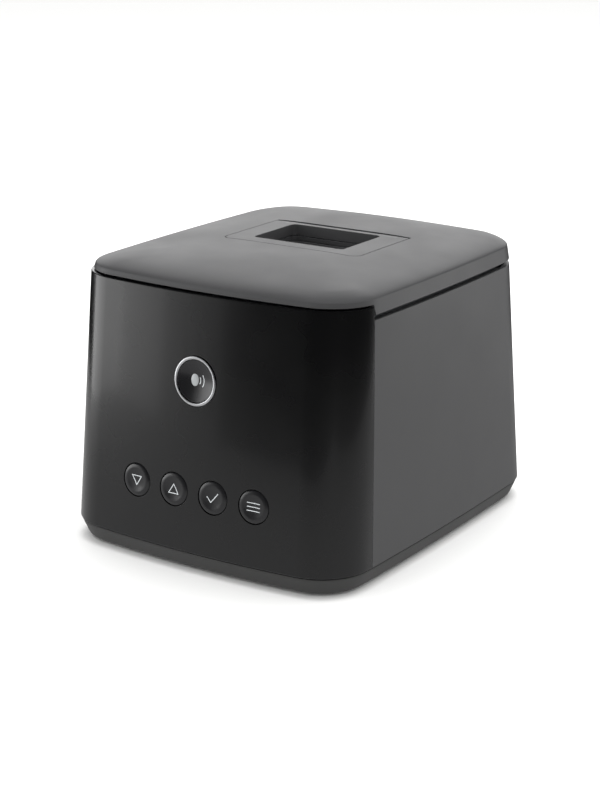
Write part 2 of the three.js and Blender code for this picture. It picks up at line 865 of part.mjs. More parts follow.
function bodyShell(rear) {
  const outer = bodyBlock(shellFoot, sideRimHeight, 0);
  const inner = bodyBlock(shellFoot - overrun, sideRimHeight + overrun, shellWall);
  const knuckleSpans = [
    [-lidKnuckleLength / 2 - shellKnuckleLength, -lidKnuckleLength / 2 - fit],
    [lidKnuckleLength / 2 + fit, lidKnuckleLength / 2 + shellKnuckleLength],
  ];
  const roomFoot = hingeHeight - hingeKnuckleRadius - hingeNotchGap;
  const walls = cut(outer, inner, frontOfSeam(fit / 2), ...knuckleRoom(roomFoot, lidTop));
  const joined = join(walls, seamTongue(), filterFrame(rear), ...deckLedges(),
    ...knuckles(knuckleSpans, roomFoot - hingeWeb));
  const hole = outOf([rear, rearFaceFrame(socketX)], boxShape(
    -socketHalfWidth, socketHalfWidth, -shellWall * 2, overrun, socketFoot, socketHead,
  ));
  return piece("body_shell", cut(joined, filterRoom(rear), hole, ...hingeBores()), satinCharcoal);
}

/** The places of the control board's posts in the plane of the front face. */
function panelPostPlaces() {
  const heights = [boardFoot + panelPostRadius * 1.5, boardHead - panelPostRadius * 1.5];
  return [-1, 1].flatMap((side) => heights.map((height) => [side * panelPostX, height]));
}

/** The four posts that hold the control board. */
function panelPosts(front) {
  const start = panelWall / 2 + bowAt(panelPostX);
  return panelPostPlaces().map((place) => outOf([front], barShape(
    "y", panelPostRadius, start, boardDepth - fit, place, smallSides,
  )));
}

function frontPanel(front) {
  const outer = bodyBlock(shellFoot, frontRimHeight, 0);
  const inner = bodyBlock(shellFoot - overrun, frontRimHeight + overrun, panelWall);
  const skin = cut(outer, inner).intersect(frontOfSeam(-fit / 2));
  const holes = buttonPlaces.map((x) => outOf([front, faceFrame(x, buttonHeight)], barShape(
    "y", buttonRadius + fit, -overrun, panelWall * 2, [0, 0],
  )));
  const startHole = outOf([front], barShape(
    "y", startRingRadius + fit, -overrun, panelWall * 2, [0, startHeight],
  ));
  return piece("front_panel", join(cut(skin, ...holes, startHole), ...panelPosts(front)), glossBlack);
}

// Front controls

/** A dished push cap with its flange and stem, round the Y axis. */
function pushCap(radius, dish, sink, flange, stemEnd) {
  const rim = radius / 8;
  const dishShares = [0, 0.4, 0.75, 1];
  const face = dishShares.map((share) => [(radius - rim) * share, sink + dish * (1 - share ** 2)]);
  return turnedInward([
    ...face,
    [radius, sink + rim / 2],
    [radius, flange],
    [radius + flangeWidth, flange],
    [radius + flangeWidth, flange + flangeThickness],
    [stemRadius, flange + flangeThickness],
    [stemRadius, stemEnd],
    [0, stemEnd],
  ]);
}

function pushButtons() {
  const names = ["button_down", "button_up", "button_ok", "button_menu"];
  return names.map((name, index) => {
    const x = buttonPlaces[index];
    const group = faceFrame(x, buttonHeight);
    const stemEnd = stemReach - bowAt(x) - stemRadius * Math.abs(Math.sin(bowAngleAt(x)));
    const cap = pushCap(buttonRadius, buttonDish, -buttonProud, flangeDepth, stemEnd);
    group.add(piece(name, cap, keyBlack));
    return group;
  });
}

function startControls() {
  const inner = startRingRadius - startRingWidth;
  const dialRadius = inner - fit;
  const lensRadius = dialRadius / 4;
  const ringEnd = flangeDepth + flangeThickness;
  const group = faceFrame(0, startHeight);
  const ring = turnedInward([
    [inner, -startRingProud / 2], [startRingRadius - startRingWidth / 3, -startRingProud],
    [startRingRadius, -startRingProud / 2], [startRingRadius, flangeDepth],
    [startRingRadius + flangeWidth, flangeDepth], [startRingRadius + flangeWidth, ringEnd],
    [inner, ringEnd], [inner, -startRingProud / 2],
  ]);
  const dial = pushCap(dialRadius, startDish, 0, ringEnd + flangeThickness, stemReach);
  const lensRoom = bar("y", lensRadius + fit, -overrun, ringEnd, [0, 0], smallSides);
  const lensFace = startDish - startRingProud;
  const lens = turnedInward([
    [0, lensFace], [lensRadius / 2, lensFace + fit / 4], [lensRadius, lensFace + fit],
    [lensRadius, ringEnd - seat], [0, ringEnd - seat],
  ], smallSides);
  group.add(
    piece("start_ring", ring, brightChrome),
    piece("start_button", cut(dial, lensRoom), keyBlack),
    piece("start_lens", lens, lensWhite),
  );
  return group;
}

function keypadMembrane() {
  const sheet = box(
    -boardHalfWidth, boardHalfWidth, membraneFace, membraneFace + membraneThickness, boardFoot, boardHead,
  );
  const domes = [...buttonPlaces.map((x) => [x, buttonHeight]), [0, startHeight]].map((place) => bar(
    "y", domeRadius, stemReach + buttonTravel + fit / 2, membraneFace + membraneThickness / 2, place,
    smallSides,
  ));
  const window = box(
    -displayHalfWidth - overrun, displayHalfWidth + overrun, 0, boardDepth,
    displayFoot - overrun, displayHead + overrun,
  );
  const posts = panelPostPlaces().map((place) => bar(
    "y", panelPostRadius + fit, 0, boardDepth, place, smallSides,
  ));
  return piece("keypad_membrane", cut(join(sheet, ...domes), window, ...posts), siliconeGrey);
}

function controlBoard() {
  const back = boardDepth + boardThickness;
  const board = box(-boardHalfWidth, boardHalfWidth, boardDepth, back, boardFoot, boardHead);
  const connector = box(
    -displayHalfWidth / 2, 0, back - boardThickness / 2, back + boardThickness * 2,
    boardFoot + boardThickness, boardFoot + boardThickness * 4,
  );
  const chip = box(
    displayHalfWidth / 3, displayHalfWidth * 0.75, back - boardThickness / 2, back + boardThickness,
    displayFoot, displayHead,
  );
  return piece("control_board", join(board, connector, chip), boardGreen);
}

function displayModule() {
  const display = box(
    -displayHalfWidth, displayHalfWidth, displayDepth, boardDepth - fit, displayFoot, displayHead,
  );
  return piece("display_module", display, glossBlack);
}

// Chassis

/** A block that follows the bay's outline, grown by an amount. */
function bayBlock(grow, bottom, top) {
  return roundedBlock(
    -bayHalfWidth - grow, bayHalfWidth + grow, bayFront - grow, bayRear + grow,
    bayRadius + grow, bottom, top,
  );
}

function chassis() {
  const deckTop = deckHeight + deckThickness;
  const bayFloorTop = bayFloorHeight + bayFloor;
  const deck = bodyBlock(deckHeight, deckTop, deckInset);
  const rim = cut(
    bodyBlock(deckTop - deckThickness / 2, lidRimHeight, rimInset),
    bodyBlock(deckTop - deckThickness, lidRimHeight + overrun, rimInset + rimWall),
  );
  const bay = bayBlock(bayWall, bayFloorHeight, deckTop);
  const pan = bar("z", panRadius, panBottom, bayFloorHeight + bayFloor / 2, [0, bayY], wideSides);
  const legs = legPlaces().map(([, x, y]) => bar(
    "z", legRadius, legBossTop + seat, deckHeight + deckThickness / 2, [x, y], smallSides,
  ));
  const bores = legPlaces().map(([, x, y]) => bar(
    "z", screwRadius + fit, 0, trayBottom + screwLength + legRadius * 2, [x, y], smallSides,
  ));
  const cutters = [
    bayBlock(0, bayFloorTop, deckTop + overrun),
    bar("z", heaterHoleRadius, panBottom + bayWall, bayFloorTop + overrun, [0, bayY], wideSides),
    bar("z", panRadius - bayWall, panBottom + bayWall, bayFloorHeight, [0, bayY], wideSides),
    bar("y", inletRadius + ductWall + seat + fit, bayRear - overrun, bayRear + bayWall + overrun,
      [inletX, inletHeight]),
    ...bores,
  ];
  return piece("chassis", cut(join(deck, rim, bay, pan, ...legs), ...cutters), innerGrey);
}

// Heater

function heaterPlate() {
  const flangeTop = bayFloorHeight - seat;
  const flangeBottom = flangeTop - heaterFlangeThickness;
  const inner = heaterRadius - heaterThickness;
  const plate = turned([
    [0, heaterTop - heaterThickness], [inner, heaterTop - heaterThickness], [inner, flangeBottom],
    [heaterRadius + heaterFlangeWidth, flangeBottom], [heaterRadius + heaterFlangeWidth, flangeTop],
    [heaterRadius, flangeTop], [heaterRadius, heaterTop], [0, heaterTop],
  ], 0, bayY, wideSides);
  return piece("heater_plate", plate, aluminiumGrey);
}

/** Points along a helix that stands on a height. */
function helixPoints(radius, bottom, height, turns, steps) {
  const points = [];
  for (let step = 0; step <= turns * steps; step += 1) {
    const angle = (step / steps) * turn;
    const z = bottom + (height * step) / (turns * steps);
    points.push(new THREE.Vector3(radius * Math.cos(angle), radius * Math.sin(angle), z));
  }
  return points;
}

/** The least gap between turns of a coil whose wire has a radius. */
function leastGap(points, steps, wireRadius) {
  let least = Infinity;
  points.forEach((point, index) => {
    for (let other = index + Math.round(steps / 2); other < points.length; other += 1) {
      least = Math.min(least, point.distanceTo(points[other]));
    }
  });
  return least - 2 * wireRadius;
}

function heaterSprings() {
  const steps = 8;
  const wire = heaterSpringWire / 2;
  const bottom = panBottom + bayWall + wire + fit;
  const height = heaterTop - heaterThickness - wire - fit - bottom;
  const points = helixPoints(heaterSpringRadius, bottom, height, heaterSpringTurns, steps);
  const section = new THREE.Shape(Array.from({ length: springWireSides }, (_, index) => {
    const angle = (index / springWireSides) * turn;
    return new THREE.Vector2(wire * Math.cos(angle), wire * Math.sin(angle));
  }));
  console.log(`heater spring: least gap ${leastGap(points, steps, wire).toFixed(2)} mm`);
  return [0, 1, 2].map((index) => {
    const angle = (index / 3) * turn;
    const coil = new THREE.ExtrudeGeometry(section, {
      steps: heaterSpringTurns * steps,
      extrudePath: new THREE.CatmullRomCurve3(points),
      bevelEnabled: false,
    });
    coil.translate(heaterSpringCircle * Math.cos(angle), bayY + heaterSpringCircle * Math.sin(angle), 0);
    return piece(`heater_spring_${index + 1}`, solid(coil), steelGrey);
  });
}

// Water chamber

/** A block that follows the chamber's outline, drawn in by an inset. */
function chamberBlock(inset, bottom, top) {
  return bayBlock(-chamberClearance - inset, bottom, top);
}

function chamberTub() {
  const outer = chamberBlock(0, bayFloorHeight + bayFloor + seat, tubTop);
  const water = chamberBlock(chamberWall, chamberFloorHeight + chamberFloor, tubTop + overrun);
  const below = chamberBlock(chamberWall, bayFloorHeight, chamberFloorHeight);
  const hole = bar("z", chamberHoleRadius, bayFloorHeight, tubTop, [0, bayY], wideSides);
  return piece("chamber_tub", cut(outer, water, below, hole), clearPlastic);
}

function chamberPlate() {
  const bottom = heaterTop + seat;
  const top = bottom + chamberPlateThickness;
  const raised = chamberFloorHeight + chamberFloor - fit;
  const plate = turned([
    [0, bottom], [chamberPlateRadius, bottom], [chamberPlateRadius, top],
    [chamberHoleRadius - fit, top], [chamberHoleRadius - fit, raised],
    [chamberHoleRadius - fit - chamberWall, raised], [chamberHoleRadius - fit - chamberWall, top], [0, top],
  ], 0, bayY, wideSides);
  return piece("chamber_plate", plate, steelGrey);
}

function chamberSeal() {
  const bottom = tubTop + seat / 2;
  const top = bottom + chamberSealHeight;
  const hole = chamberBlock(chamberWall, bottom - overrun, top + overrun);
  const ring = cut(chamberBlock(0, bottom, top), hole);
  return piece("chamber_seal", ring, sealBlue);
}

/** A block round the lid's well, grown by a wall. */
function pocketBlock(grow, bottom, top) {
  return roundedBlock(
    -wellHalfWidth - wellWall - pocketSideRoom - grow, wellHalfWidth + wellWall + pocketSideRoom + grow,
    wellFront - wellWall - pocketFrontRoom - grow, wellRear + wellWall + pocketSideRoom + grow,
    wellRadius + wellWall + grow, bottom, top,
  );
}

function chamberCover() {
  const bottom = tubTop + seat + chamberSealHeight;
  const shoulder = chamberTop - coverRounding;
  const outer = join(
    chamberBlock(0, bottom, shoulder),
    chamberBlock(coverRounding * 0.3, shoulder - overrun, chamberTop - coverRounding * 0.3),
    chamberBlock(coverRounding, shoulder - overrun, chamberTop),
  );
  const inner = chamberBlock(chamberWall, bottom - overrun, shoulder - chamberWall);
  const innerTop = chamberBlock(coverRounding + chamberWall, bottom, chamberTop - chamberWall);
  const pocketBottom = pocketFloorTop - chamberWall;
  const collarFoot = pocketFloorTop - chamberWall / 2;
  const collarTop = pocketFloorTop + portCollar;
  const collar = bar("z", outletRadius + chamberWall, collarFoot, collarTop, [0, wellY]);
  const body = join(
    cut(outer, inner, innerTop),
    pocketBlock(chamberWall, pocketBottom, chamberTop - chamberWall / 2),
  );
  const inlet = bar("y", inletRadius, bayRear - bayRadius, bayRear, [inletX, inletHeight]);
  const cover = join(cut(body, pocketBlock(0, pocketFloorTop, chamberTop + overrun)), collar);
  const outlet = bar("z", outletRadius, bottom, chamberTop, [0, wellY]);
  return piece("chamber_cover", cut(cover, outlet, inlet), clearPlastic);
}

function inletSeal() {
  const group = new THREE.Group();
  group.position.set(inletX, bayRear, inletHeight);
  const outer = inletRadius + ductWall + seat;
  const start = -chamberClearance + seat;
  const flangeStart = bayWall + seat;
  const seal = turnedInward([
    [inletRadius, start], [outer, start], [outer, flangeStart], [outer + bayWall, flangeStart],
    [outer + bayWall, flangeStart + bayWall / 2], [inletRadius, flangeStart + bayWall / 2],
    [inletRadius, start],
  ]);
  group.add(piece("inlet_seal", seal, siliconeGrey));
  return group;
}

// Blower and duct

function blowerBase() {
  const nozzleX = blowerX - nozzleOffset;
  const cup = bar("z", blowerRadius, blowerBottom, blowerTop, [blowerX, blowerY], wideSides);
  const nozzle = bar("y", ductRadius, blowerY, nozzleEnd, [nozzleX, nozzleHeight]);
  const ears = earPlaces().map((place) => bar(
    "z", blowerEarRadius, blowerBottom, blowerBottom + blowerEarThickness, place, smallSides,
  ));
  const room = bar("z", blowerRadius - blowerWall, blowerBottom + blowerWall, blowerTop + overrun,
    [blowerX, blowerY], wideSides);
  const bore = bar("y", ductRadius - ductWall, blowerY, nozzleEnd + overrun, [nozzleX, nozzleHeight]);
  return piece("blower_base", cut(join(cup, nozzle, ...ears), room, bore), innerGrey);
}

function blowerCover() {
  const bottom = blowerTop + seat;
  const top = bottom + blowerWall;
  const cover = turned([
    [eyeRadius, bottom], [blowerRadius, bottom], [blowerRadius, top], [eyeRadius + eyeWall, top],
    [eyeRadius + eyeWall, top + eyeHeight], [eyeRadius, top + eyeHeight], [eyeRadius, bottom],
  ], blowerX, blowerY, wideSides);
  return piece("blower_cover", cover, innerGrey);
}

function blowerMotor() {
  const bottom = blowerBottom + blowerWall + fit;
  const motor = turned([
    [shaftRadius + seat, bottom], [motorRadius, bottom], [motorRadius, motorTop],
    [shaftRadius + seat, motorTop], [shaftRadius + seat, bottom],
  ], blowerX, blowerY);
  return piece("blower_motor", motor, steelGrey);
}

/** One curved blade of the impeller, as a plan strip swept back from the hub to the rim. */
function bladeShape() {
  const stations = [0, 1 / 3, 2 / 3, 1];
  const start = hubRadius - bladeThickness / 2;
  const end = impellerRadius - bladeThickness / 2;
  const edge = (side) => stations.map((share) => {
    const radius = start + (end - start) * share;
    const angle = -bladeSweep * share;
    const across = angle + turn / 4;
    return new THREE.Vector2(
      radius * Math.cos(angle) + ((side * bladeThickness) / 2) * Math.cos(across),
      radius * Math.sin(angle) + ((side * bladeThickness) / 2) * Math.sin(across),
    );
  });
  return new THREE.Shape([...edge(-1), ...edge(1).reverse()]);
}

function impeller() {
  const bladeCount = 9;
  const bottom = motorTop + seat * 2;
  const discTop = bottom + impellerDisc;
  const hub = bar("z", hubRadius, bottom, impellerTop, [0, 0], smallSides);
  const disc = bar("z", impellerRadius, bottom, discTop, [0, 0], wideSides);
  const blades = Array.from({ length: bladeCount }, (_, index) => {
    const depth = impellerTop - bottom - impellerDisc / 2;
    const blade = new THREE.ExtrudeGeometry(bladeShape(), { depth, bevelEnabled: false });
    return solid(blade.translate(0, 0, bottom + impellerDisc / 2).rotateZ((index / bladeCount) * turn));
  });
  const boreTop = impellerTop - hubRadius / 2;
  const bore = bar("z", shaftRadius + fit, bottom - overrun, boreTop, [0, 0], smallSides);
  const shaftFoot = blowerBottom + blowerWall + seat * 2;
  const shaft = bar("z", shaftRadius, shaftFoot, boreTop - fit, [0, 0], smallSides);
  const group = new THREE.Group();
  group.position.set(blowerX, blowerY, 0);
  group.add(
    piece("impeller", cut(join(disc, hub, ...blades), bore), lensWhite),
    piece("motor_shaft", shaft, steelGrey),
  );
  return group;
}

function blowerMounts() {
  const bottom = trayBottom + trayFloor + fit;
  const top = blowerBottom - fit;
  const waist = blowerEarRadius * 0.6;
  return earPlaces().map(([x, y], index) => piece(
    `blower_mount_${index + 1}`,
    turned([[0, bottom], [blowerEarRadius, bottom], [waist, (bottom * 2 + top) / 3],
      [waist, (bottom + top * 2) / 3], [blowerEarRadius, top], [0, top]], x, y, smallSides),
    rubberBlack,
  ));
}

/** The middle line of the duct: back from the nozzle, up behind the bay, forward to the chamber. */
function ductPath() {
  const nozzleX = blowerX - nozzleOffset;
  const start = nozzleEnd + seat;
  const end = bayRear + bayWall * 1.5 + seat * 2;
  const rise = start + ductBend + ductWall;
  const bendSteps = [0, 1, 2, 3, 4];
  const points = [new THREE.Vector3(nozzleX, start, nozzleHeight)];
  for (const step of bendSteps) {
    const angle = (step / 16) * turn;
    points.push(new THREE.Vector3(
      nozzleX, rise - ductBend * (1 - Math.sin(angle)), nozzleHeight + ductBend * (1 - Math.cos(angle)),
    ));
  }
  for (const step of bendSteps) {
    const angle = (step / 16) * turn;
    points.push(new THREE.Vector3(
      inletX, rise - ductBend * (1 - Math.cos(angle)), inletHeight - ductBend * (1 - Math.sin(angle)),
    ));
  }
  points.push(new THREE.Vector3(inletX, end, inletHeight));
  return new THREE.CatmullRomCurve3(points, false, "centripetal");
}

function airDuct() {
  const section = new THREE.Shape();
  section.absarc(0, 0, ductRadius, 0, turn);
  const bore = new THREE.Path();
  bore.absarc(0, 0, ductRadius - ductWall, 0, turn);
  section.holes.push(bore);
  const tube = new THREE.ExtrudeGeometry(section, {
    steps: 18, extrudePath: ductPath(), bevelEnabled: false, curveSegments: 5,
  });
  return piece("air_duct", solid(tube), siliconeGrey);
}

// Boards in the tray

/** A board on its standoffs, with blocks on it at shares of its width and length. */
function trayBoard(name, board, blockShares, heights) {
  const bottom = boardRest + seat;
  const top = bottom + boardThickness;
  const width = board.right - board.left;
  const length = board.rear - board.front;
  const plate = box(board.left, board.right, board.front, board.rear, bottom, top);
  const blocks = blockShares.map(([x0, x1, y0, y1], index) => box(
    board.left + width * x0, board.left + width * x1,
    board.front + length * y0, board.front + length * y1,
    bottom + boardThickness / 2, top + heights[index],
  ));
  return piece(name, join(plate, ...blocks), boardGreen);
}

function trayBoards() {
  const mainHeights = [chipHeight, chipHeight, connectorHeight];
  const powerHeights = [heatSinkHeight, connectorHeight, connectorHeight];
  return [
    trayBoard("main_board", mainBoard, mainBoardShares, mainHeights),
    trayBoard("power_board", powerBoard, powerBoardShares, powerHeights),
  ];
}

function powerParts() {
  const bottom = boardRest + boardThickness + seat * 2;
  const core = transformerHalf * 0.6;
  const windingFoot = bottom + transformerHeight * 0.2;
  const windingTop = bottom + transformerHeight * 0.8;
  const transformer = join(
    box(powerPartX - transformerHalf, powerPartX + transformerHalf, transformerY - core,
      transformerY + core, bottom, bottom + transformerHeight),
    bar("z", transformerHalf * 0.9, windingFoot, windingTop, [powerPartX, transformerY]),
  );
  const rounding = capacitorRadius / 8;
  const can = turned([
    [0, bottom], [capacitorRadius, bottom], [capacitorRadius, bottom + capacitorHeight - rounding],
    [capacitorRadius - rounding, bottom + capacitorHeight], [0, bottom + capacitorHeight],
  ], powerPartX, capacitorY);
  return [
    piece("power_transformer", transformer, ferriteYellow),
    piece("power_capacitor", can, sleeveBlue),
  ];
}

function panelRibbon() {
  const boardBack = boardDepth + boardThickness * 3 + seat;
  const top = lowerSeam + boardFoot + boardThickness * 3;
  const startY = -frontAt(top) + boardBack;
  const floor = boardRest + seat + boardThickness + ribbonLift;
  const endY = mainBoard.front + (mainBoard.rear - mainBoard.front) * ribbonReachShare;
  const path = new THREE.CatmullRomCurve3([
    new THREE.Vector3(startY + ribbonThickness, top, 0),
    new THREE.Vector3(startY + ribbonThickness, top - ribbonSlack, 0),
    new THREE.Vector3(startY + ribbonThickness * 2, floor + ribbonSlack, 0),
    new THREE.Vector3((startY + endY) / 2, floor + ribbonLift, 0),
    new THREE.Vector3(endY, floor, 0),
  ]);
  const stations = path.getPoints(14);
  const tangents = stations.map((_, index) => path.getTangent(index / (stations.length - 1)));
  const edge = (side) => stations.map((point, index) => [
    point.x - (side * tangents[index].y * ribbonThickness) / 2,
    point.y + (side * tangents[index].x * ribbonThickness) / 2,
  ]);
  const right = -ribbonSlack / 3;
  const strip = sideBlock([...edge(-1), ...edge(1).reverse()], right - ribbonWidth, right);
  return piece("panel_ribbon", strip, ribbonGrey);
}

// Rear face pieces, in the plane of the rear face

function filterCover() {
  const half = filterHalfWidth - fit;
  const back = -filterCoverThickness;
  const plate = box(-half, half, back, 0, filterFoot + fit, filterHead - fit);
  const pitch = slotWidth + slotBar;
  const count = Math.floor((filterHead - filterFoot - slotBar * 3) / pitch);
  const first = (filterFoot + filterHead) / 2 - ((count - 1) * pitch) / 2;
  const reach = half - slotBar * 1.5;
  const slots = Array.from({ length: count }, (_, index) => {
    const height = first + index * pitch;
    return box(-reach, reach, back - overrun, overrun, height - slotWidth / 2, height + slotWidth / 2);
  });
  return piece("filter_cover", cut(plate, ...slots), satinCharcoal);
}

function filterPad() {
  const half = filterHalfWidth - fit;
  const front = -filterCoverThickness - seat;
  const pad = box(-half, half, front - filterFoam, front, filterFoot + fit, filterHead - fit);
  return piece("filter_pad", pad, foamGrey);
}

function powerInlet() {
  const half = socketHalfWidth - fit;
  const flangeHalf = half + fit + socketFlange;
  const flange = box(
    -flangeHalf, flangeHalf, fit, fit + socketFlange, socketFoot - socketFlange, socketHead + socketFlange,
  );
  const body = box(-half, half, -socketLength, fit + socketFlange / 2, socketFoot + fit, socketHead - fit);
  const recess = box(
    -half + socketWall, half - socketWall, -socketRecess, overrun * 2,
    socketFoot + fit + socketWall, socketHead - fit - socketWall,
  );
  return piece("power_inlet", cut(join(flange, body), recess), rubberBlack);
}

function inletPins() {
  const middle = (socketFoot + socketHead) / 2;
  const back = -socketRecess + seat;
  const places = [
    ["live", -bladeSpacing, -bladeRaise],
    ["earth", 0, bladeRaise],
    ["neutral", bladeSpacing, -bladeRaise],
  ];
  return places.map(([name, x, raise]) => piece(`inlet_pin_${name}`, box(
    x - bladeHalfWidth, x + bladeHalfWidth, back, -bladeSink,
    middle + raise - bladeHalfHeight, middle + raise + bladeHalfHeight,
  ), steelGrey));
}

// Lid

/** The lid's outline at a height, drawn in by separate insets at its sides, front and rear. */
function lidOutline(side, front, rear) {
  const radius = Math.max(bodyCornerRadius - side, bodyCornerRadius / 2);
  const base = lidRimHeight;
  return outline(halfWidthAt(base) - side, frontAt(base) - front, rearAt(base) - rear, radius);
}

/** The levels of the lid's pillow form, from its crease to its top, for a wall that is set in. */
function lidLevels(wall, drop, turnShares) {
  const crease = lidRimHeight + creaseRise - drop;
  return turnShares.map((share) => {
    const angle = (share * turn) / 4;
    const inward = 1 - Math.cos(angle) ** (2 / pillowPower);
    const upward = Math.sin(angle) ** (2 / pillowPower);
    return {
      z: crease + (lidTop - drop - crease) * upward,
      points: lidOutline(
        creaseSideInset + wall + pillowSideReach * inward,
        creaseFrontInset + wall + pillowFrontReach * inward,
        creaseRearInset + wall + pillowRearReach * inward,
      ),
    };
  });
}

/** The solid form of the lid, without its hollow. */
function lidForm() {
  const rim = { z: lidRimHeight, points: lidOutline(0, 0, 0) };
  return solid(loft([rim, ...lidLevels(0, 0, pillowTurnShares)]));
}

/** The hollow under the lid. */
function lidHollow() {
  const rim = { z: lidRimHeight - overrun, points: lidOutline(lidWall, lidWall, lidWall) };
  return solid(loft([rim, ...lidLevels(lidWall * 0.7, lidWall, hollowTurnShares)]));
}

/** The room over the front panel's top edge, where the lid's lower edge steps up. */
function lidFrontStep() {
  const back = uprightSeamAt(frontRimHeight) + frontLipGap;
  return box(-bodyWidth, bodyWidth, -bodyDepth, back, lidRimHeight - overrun, frontLipHeight);
}

/** The handle's plan, grown by an amount, as a block with larger corners at its front. */
function handlePlan(grow, bottom, top) {
  const side = handleHalfWidth + grow;
  return join(
    roundedBlock(-side, side, handleFront - grow, wellRear, handleCornerRadius + grow, bottom, top),
    roundedBlock(-side, side, wellY, handleRear + grow, handleHeelRadius + grow, bottom, top),
  );
}

/** The recess that the handle folds into, with square rear corners for its heel to turn in. */
function handleRecess() {
  const side = handleHalfWidth + handleGap;
  const top = lidTop + overrun;
  return join(
    handlePlan(handleGap, handleBedHeight, top),
    box(-side, side, wellY, handleRear + handleGap, handleBedHeight, top),
  );
}

/** The well's plan, grown by an amount, as a block. */
function wellPlan(grow, bottom, top) {
  return roundedBlock(
    -wellHalfWidth - grow, wellHalfWidth + grow, wellFront - grow, wellRear + grow,
    wellRadius + grow, bottom, top,
  );
}

function lidShell() {
  const form = lidForm();
  const bedBottom = handleBedHeight - handleBed;
  const bed = handlePlan(handleGap + handleBed, bedBottom, lidTop).intersect(form);
  const knuckleSpan = [[-lidKnuckleLength / 2, lidKnuckleLength / 2]];
  const roomTop = hingeHeight + hingeKnuckleRadius + hingeNotchGap;
  const skin = cut(form, lidHollow(), lidFrontStep(), ...knuckleRoom(lidRimHeight - overrun, roomTop));
  const joined = join(skin, bed, ...knuckles(knuckleSpan, roomTop + lidWall));
  const pinReach = handleHalfWidth + handleGap + handlePinInLid;
  const pinBores = [-1, 1].map((side) => bar(
    "x", handlePinRadius + fit, Math.min(side * pinReach, 0), Math.max(side * pinReach, 0),
    [handleAxisY, handleAxisHeight], smallSides,
  ));
  return piece("lid_shell", cut(
    joined, handleRecess(), wellPlan(0, bedBottom - overrun, lidTop), ...pinBores, ...hingeBores(),
  ), satinCharcoal);
}

function lidLiner() {
  const top = linerHeight + linerThickness;
  const plate = bodyBlock(linerHeight, top, linerInset);
  const bedBottom = handleBedHeight - handleBed;
  const well = wellPlan(wellWall, wellFloorBottom, bedBottom - seat);
  const posts = [-1, 1].flatMap((side) => [-1, 1].map((end) => bar(
    "z", linerPostRadius, top - linerThickness / 2, top + linerPostHeight,
    [side * linerPostX, end * linerPostY], smallSides,
  )));
  const cutters = [
    wellPlan(0, wellFloorBottom + wellFloor, lidTop),
    bar("z", portSpigotRadius + fit, wellFloorBottom - overrun, lidTop, [0, wellY]),
  ];
  return piece("lid_liner", cut(join(plate, well, ...posts), ...cutters), liningGrey);
}

function hosePort() {
  const floorTop = wellFloorBottom + wellFloor;
  const flangeBottom = floorTop + fit;
  const flangeTop = flangeBottom + portFlange;
  const foot = wellFloorBottom - portSealHeight + seat;
  const top = floorTop + portHeight;
  const port = turned([
    [portBoreRadius, foot], [portSpigotRadius, foot], [portSpigotRadius, flangeBottom],
    [portFlangeRadius, flangeBottom], [portFlangeRadius, flangeTop], [portFootRadius, flangeTop],
    [portTopRadius, top], [portBoreRadius, top], [portBoreRadius, foot],
  ], 0, wellY);
  return piece("hose_port", port, siliconeGrey);
}

function portSeal() {
  const top = wellFloorBottom - fit;
  const bottom = top - portSealHeight + fit;
  const seal = turned([
    [portSpigotRadius + fit, bottom], [portFlangeRadius, bottom], [portFlangeRadius, top],
    [portSpigotRadius + fit, top], [portSpigotRadius + fit, bottom],
  ], 0, wellY);
  return piece("port_seal", seal, sealBlue);
}

/** The side view of the handle: a bar with a round end at its axis. */
function handleProfile() {
  const half = handleThickness / 2;
  const arc = [0, 1, 2, 3, 4, 5, 6, 7, 8].map((step) => {
    const angle = -turn / 4 + (step / 16) * turn;
    return [handleAxisY + half * Math.cos(angle), handleAxisHeight + half * Math.sin(angle)];
  });
  const tip = handleFront - overrun;
  return [[tip, handleAxisHeight - half], ...arc, [tip, handleAxisHeight + half]];
}

function handleFrame() {
  const bottom = lidTop - handleThickness;
  const plan = cut(handlePlan(0, bottom, lidTop), wellPlan(0, bottom - overrun, lidTop + overrun));
  const profile = sideBlock(handleProfile(), -handleHalfWidth - overrun, handleHalfWidth + overrun);
  const reach = handleHalfWidth - handlePinInArm - fit;
  const bores = [-1, 1].map((side) => bar(
    "x", handlePinRadius + fit, Math.min(side * reach, side * bodyWidth),
    Math.max(side * reach, side * bodyWidth), [handleAxisY, handleAxisHeight], smallSides,
  ));
  return piece("handle_frame", cut(plan.intersect(profile).intersect(lidForm()), ...bores), satinCharcoal);
}

function handlePins() {
  return [["left", -1], ["right", 1]].map(([name, side]) => {
    const near = side * (handleHalfWidth - handlePinInArm);
    const far = side * (handleHalfWidth + handlePinInLid);
    return piece(`handle_pin_${name}`, bar(
      "x", handlePinRadius, Math.min(near, far), Math.max(near, far),
      [handleAxisY, handleAxisHeight], smallSides,
    ), steelGrey);
  });
}

function hingePins() {
  const reach = lidKnuckleLength / 2 + shellKnuckleLength - fit;
  return [["left", -1], ["right", 1]].map(([name, side]) => piece(`hinge_pin_${name}`, bar(
    "x", hingePinRadius, side * hingeX - reach, side * hingeX + reach, [hingeY, hingeHeight], smallSides,
  ), steelGrey));
}

